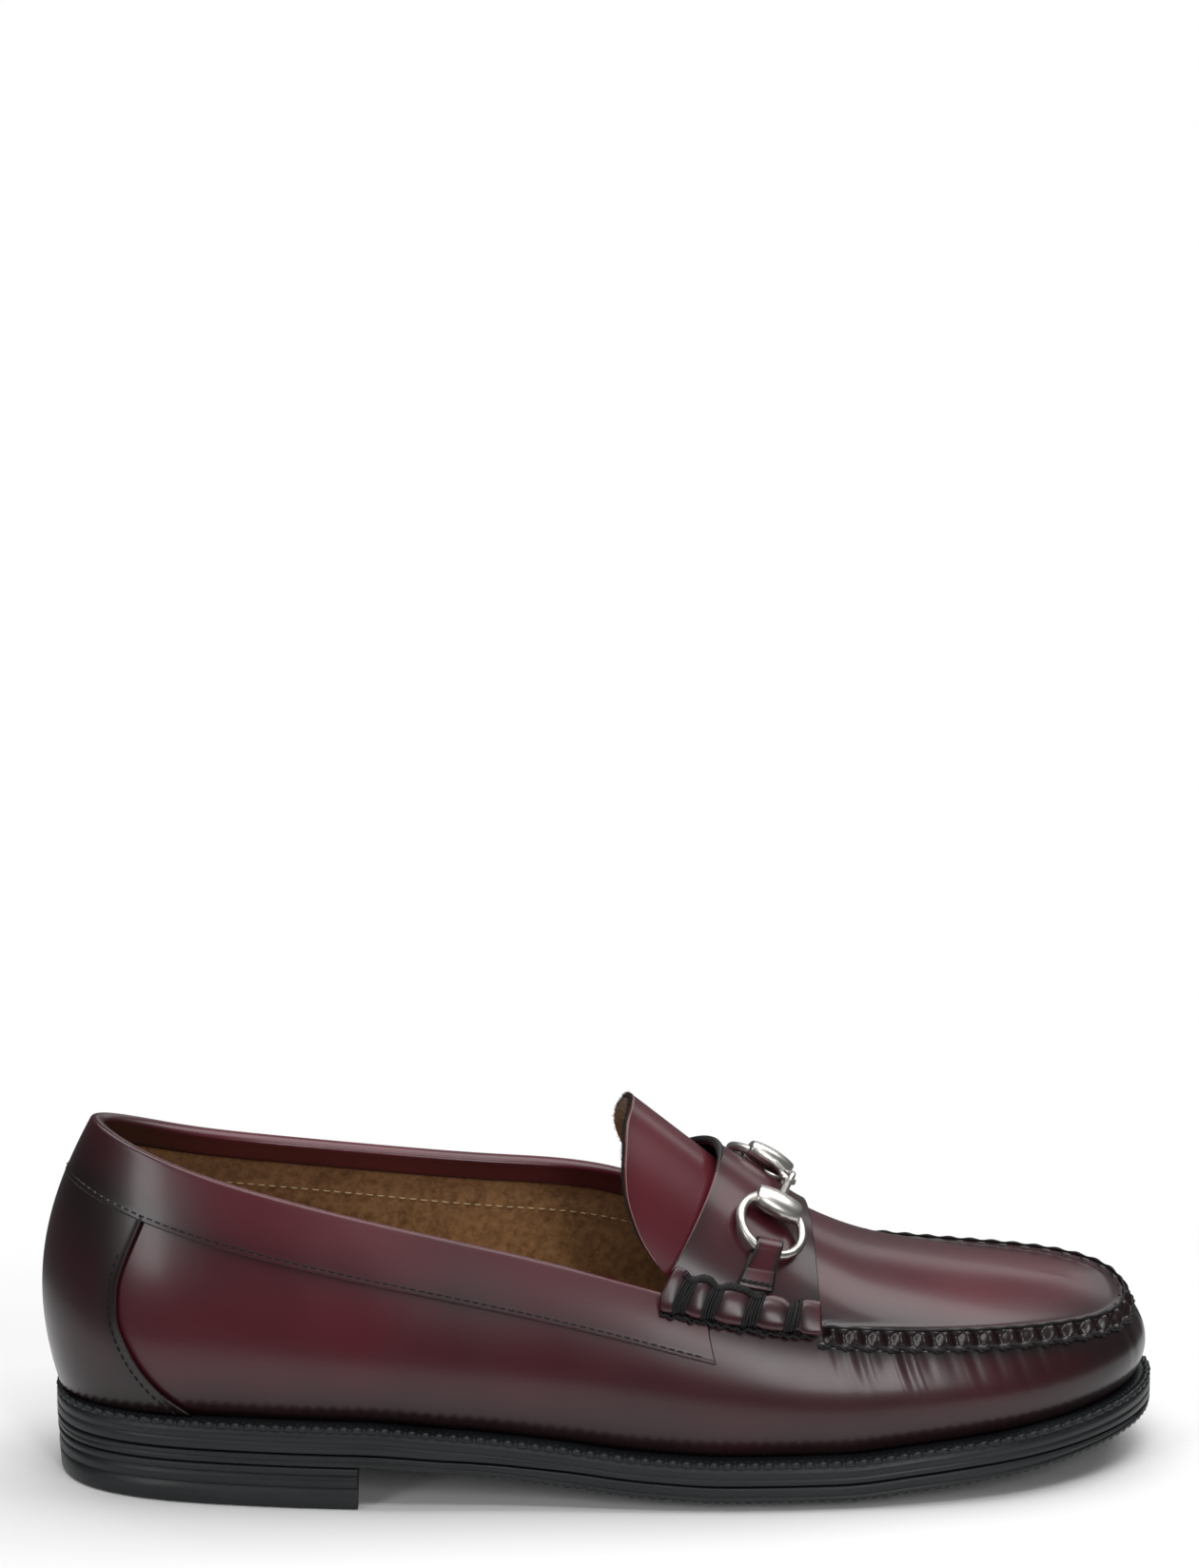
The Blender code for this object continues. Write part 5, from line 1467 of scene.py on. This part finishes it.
RING_RADIUS = 0.0091
RING_WIRE = 0.0013
RING_ANGLE = {"outer": np.radians(36.0), "inner": np.radians(32.0)}
RING_LIFT = 0.0025
SHELL_SIZE = (0.0134, 0.0074, 0.0056)
SHELL_DROP = 0.0022
SHELL_LIFT = 0.0008
NECK_WIRE = 0.0014
LOOP_RADIUS = 0.0020
LOOP_WIRE = 0.0008
LOOP_LIFT = 0.0034
RING_PLACE = 1.11
LOOP_PLACE = 1.33


TARNISH_PER_METRE = 160.0
BRUSHING_PER_METRE = 900.0


def silver_material():
    """Antiqued silver plate: a soft brushed polish with marks of 1 mm, and dark tarnish left in
    patches of 6 mm."""
    made, tree, shader = new_material("antiqued silver plate", "#b3afaa", 0.24, Metallic=1.0)
    where = node(tree, "ShaderNodeTexCoord").outputs["Object"]
    patches = node(
        tree, "ShaderNodeTexNoise", {"Scale": TARNISH_PER_METRE, "Detail": 3.0}, {"Vector": where}
    ).outputs["Fac"]
    node(
        tree, "ShaderNodeValToRGB", {"stops": ((0.30, "#a29e9a"), (0.55, "#d9d6d1"))},
        {"Fac": patches}, shader.inputs["Base Color"],
    )
    node(
        tree, "ShaderNodeMapRange", {"From Min": 0.3, "From Max": 0.7, "To Min": 0.36, "To Max": 0.285},
        {"Value": patches}, shader.inputs["Roughness"],
    )
    brushed = node(
        tree, "ShaderNodeTexNoise", {"Scale": BRUSHING_PER_METRE, "Detail": 2.0}, {"Vector": where}
    )
    node(
        tree, "ShaderNodeBump", {"Strength": 0.03, "Distance": 0.0001},
        {"Height": brushed.outputs["Fac"]}, shader.inputs["Normal"],
    )
    return made


silver = silver_material()


def strap_frame(side, place, angle, lift):
    """Axes on the strap: the spot, along the shoe, across towards the ridge, and up."""
    sign = SIGN[side]
    place, angle = np.array([place, place + 0.01]), np.full(2, sign * angle)
    spot, ahead = plug_lifted(place, angle, GAP + STRAP_LEATHER + lift)
    up = normal_of(plug_point, place[:1], angle[:1])[0]
    along = ahead - spot
    along -= up * (along @ up)
    along /= np.linalg.norm(along)
    return spot, along, np.cross(up, along) * -sign, up


def closed_tube(name, path, up, radius, material, sides=16):
    """A tube along a path that closes on itself."""
    along = np.roll(path, -1, 0) - np.roll(path, 1, 0)
    rings = tube_rings(path, along, up, radius, sides)
    quads = grid_quads(len(path), sides, True, True)
    return mesh_object(name, rings, quads, [material], True)


for side, word in SIDES:
    spot, along, across, up = strap_frame(side, RING_PLACE, RING_ANGLE[side], RING_LIFT)
    turn = np.linspace(0.0, 2 * np.pi, 120, endpoint=False)[:, None]
    circle = spot + RING_RADIUS * (np.cos(turn) * along + np.sin(turn) * across)
    ring_piece = closed_tube("bit_ring_" + word, circle, up, RING_WIRE, silver, 20)

    shell_spot = spot + across * (RING_RADIUS - SHELL_DROP) + up * SHELL_LIFT
    rows, columns = 49, 64
    lat = np.linspace(-1.0, 1.0, rows)
    spin = np.linspace(0.0, 2 * np.pi, columns, endpoint=False)
    body = 0.70 + 0.36 * np.cos(np.pi * lat / 2) ** 0.8
    round_off = np.sqrt(np.clip(1 - np.clip((np.abs(lat) - 0.86) / 0.14, 0, 1) ** 2, 0, 1))
    wide = body * (0.72 + 0.28 * round_off)
    wide[[0, -1]] = 0.0
    reach = SHELL_SIZE[0] / 2 * np.sign(lat) * (1 - (1 - np.abs(lat)) ** 1.15)
    reach[[0, -1]] = reach[[0, -1]] * 0.999
    ellipse = [np.sign(f(spin)) * np.abs(f(spin)) ** 0.90 for f in (np.cos, np.sin)]
    flat = SHELL_SIZE[1] / 2 * wide[:, None] * ellipse[0][None, :]
    tall = SHELL_SIZE[2] / 2 * wide[:, None] * ellipse[1][None, :]
    points = (
        shell_spot + reach[:, None, None] * along + flat[..., None] * across + tall[..., None] * up
    )
    quads = grid_quads(rows, columns, False, True)
    shell = mesh_object("bit_shell_" + word, points, quads, [silver], True)

    centre, _, _, centre_up = strap_frame("outer", LOOP_PLACE, 0.0, LOOP_LIFT)
    sign = SIGN[side]
    axis = np.array([0.0, sign, 0.0])
    loop_spot = centre + axis * LOOP_RADIUS / 2
    cross_axis = np.cross(axis, centre_up)
    flat_axes = (axis, centre_up) if side == "outer" else (cross_axis, axis)
    turn = np.linspace(0.0, 2 * np.pi, 60, endpoint=False)[:, None]
    circle = loop_spot + LOOP_RADIUS * (np.cos(turn) * flat_axes[0] + np.sin(turn) * flat_axes[1])
    normal = np.cross(flat_axes[0], flat_axes[1])
    eye = closed_tube("bit_eye_" + word, circle, normal, LOOP_WIRE, silver, 14)

    near = loop_spot + axis * (LOOP_RADIUS - LOOP_WIRE * 0.2)
    share = np.linspace(0.0, 1.0, 25)
    line = near + (shell_spot - near) * share[:, None]
    wide = NECK_WIRE * (0.62 + 0.45 * share + 0.20 * np.exp(-((share / 0.12) ** 2)))
    neck = tubes_object("bit_neck_" + word, line[None], centre_up, wide[None], silver, 18)
    for piece in (ring_piece, shell, eye, neck):
        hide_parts("bit_" + word)


# The keepers: leather tabs that come up from under the beef rolls, round the rings and back down,
# glossy where they bend over the wire, with inked edges and a stitched bar at the foot.

TAB_WIDTH = 0.0072
TAB_LEATHER = 0.0009

for side, word in SIDES:
    sign = SIGN[side]
    spot, along, across, up = strap_frame(side, RING_PLACE, RING_ANGLE[side], RING_LIFT)
    wire = spot - across * RING_RADIUS
    angles = sign * np.radians(np.linspace(89.0, 15.0, 400))
    bare = plug_point(np.full(400, RING_PLACE), angles)
    skin = plug_lifted(np.full(400, RING_PLACE), angles, GAP + STRAP_LEATHER)
    nearest = int(np.argmin(np.linalg.norm(skin - wire, axis=1)))
    height = float(np.linalg.norm(skin[nearest] - wire))
    run = np.cumsum(np.linalg.norm(np.diff(bare, axis=0), axis=1))
    start = ROLL_RAISE + roll_reach(RING_PLACE) + GAP
    bottom = float(run[max(nearest - 1, 0)])
    round_wire = RING_WIRE + 2 * GAP + TAB_LEATHER / 2
    sagitta = RING_RADIUS - np.sqrt(RING_RADIUS**2 - (TAB_WIDTH / 2) ** 2)
    low = height - round_wire
    turn = np.radians(np.linspace(0.0, 180.0, 21))
    knots = [(start, GAP + TAB_LEATHER / 2), ((start + bottom) / 2, (low + GAP + TAB_LEATHER / 2) / 2)]
    knots.append((bottom, low))
    knots += [
        (bottom + sagitta + round_wire * np.sin(t), height - round_wire * np.cos(t)) for t in turn
    ]
    knots.append((bottom, height + round_wire))
    second = 2 * GAP + TAB_LEATHER * 1.5
    knots += [((start + bottom) / 2, second + 0.0006), (start, second)]
    knots = np.array(knots)
    path = np.concatenate([[0.0], np.cumsum(np.linalg.norm(np.diff(knots, axis=0), axis=1))])
    at = np.linspace(0.0, path[-1], 81)
    blur = np.exp(-(((at[:, None] - at[None, :]) / 0.00045) ** 2))
    blur /= blur.sum(1, keepdims=True)
    distance, lift = (blur @ np.interp(at, path, knots[:, i]) for i in (0, 1))
    step = np.linalg.norm(plug_point(RING_PLACE + 0.01, -1.0) - plug_point(RING_PLACE, -1.0)) / 0.01
    width = np.linspace(-0.5, 0.5, 17)
    splay = 1 + 0.25 * np.clip((bottom - distance) / (bottom - start), 0, 1)
    place = RING_PLACE + TAB_WIDTH * width[None, :] * splay[:, None] / step
    points = beside(side, place, distance[:, None], (GAP + STRAP_LEATHER + lift)[:, None])
    from_side = (0.5 - np.abs(width)) * TAB_WIDTH
    tab = mesh_object(
        "keeper_tab_" + word, points, grid_quads(*points.shape[:2]),
        [leather, leather, ink], burnish=0.25 + edge_dark(from_side, 0.0008, 0.7),
    )
    solidify(tab, TAB_LEATHER, 1, 2).modifiers["Thickness"].offset = 0.0
    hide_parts("keeper_" + word)

    bar = points[-5, 1:-1]
    up = normal_of(plug_point, np.full(15, RING_PLACE), np.full(15, angles[100]))
    wave = np.linspace(0.0, 1.0, 15)
    for number, phase in enumerate((0.0, np.pi)):
        sway = 0.00035 * np.sin(wave * 16 + phase)
        row = bar + up * (TAB_LEATHER * 0.6 + 0.0002 * np.cos(wave * 16 + phase))[:, None]
        row = row + across * sway[:, None]
        stitch = tubes_object(f"keeper_bar_{word}_{number}", row[None], up[None], 0.00034, thread, 8)
        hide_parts("keeper_" + word)
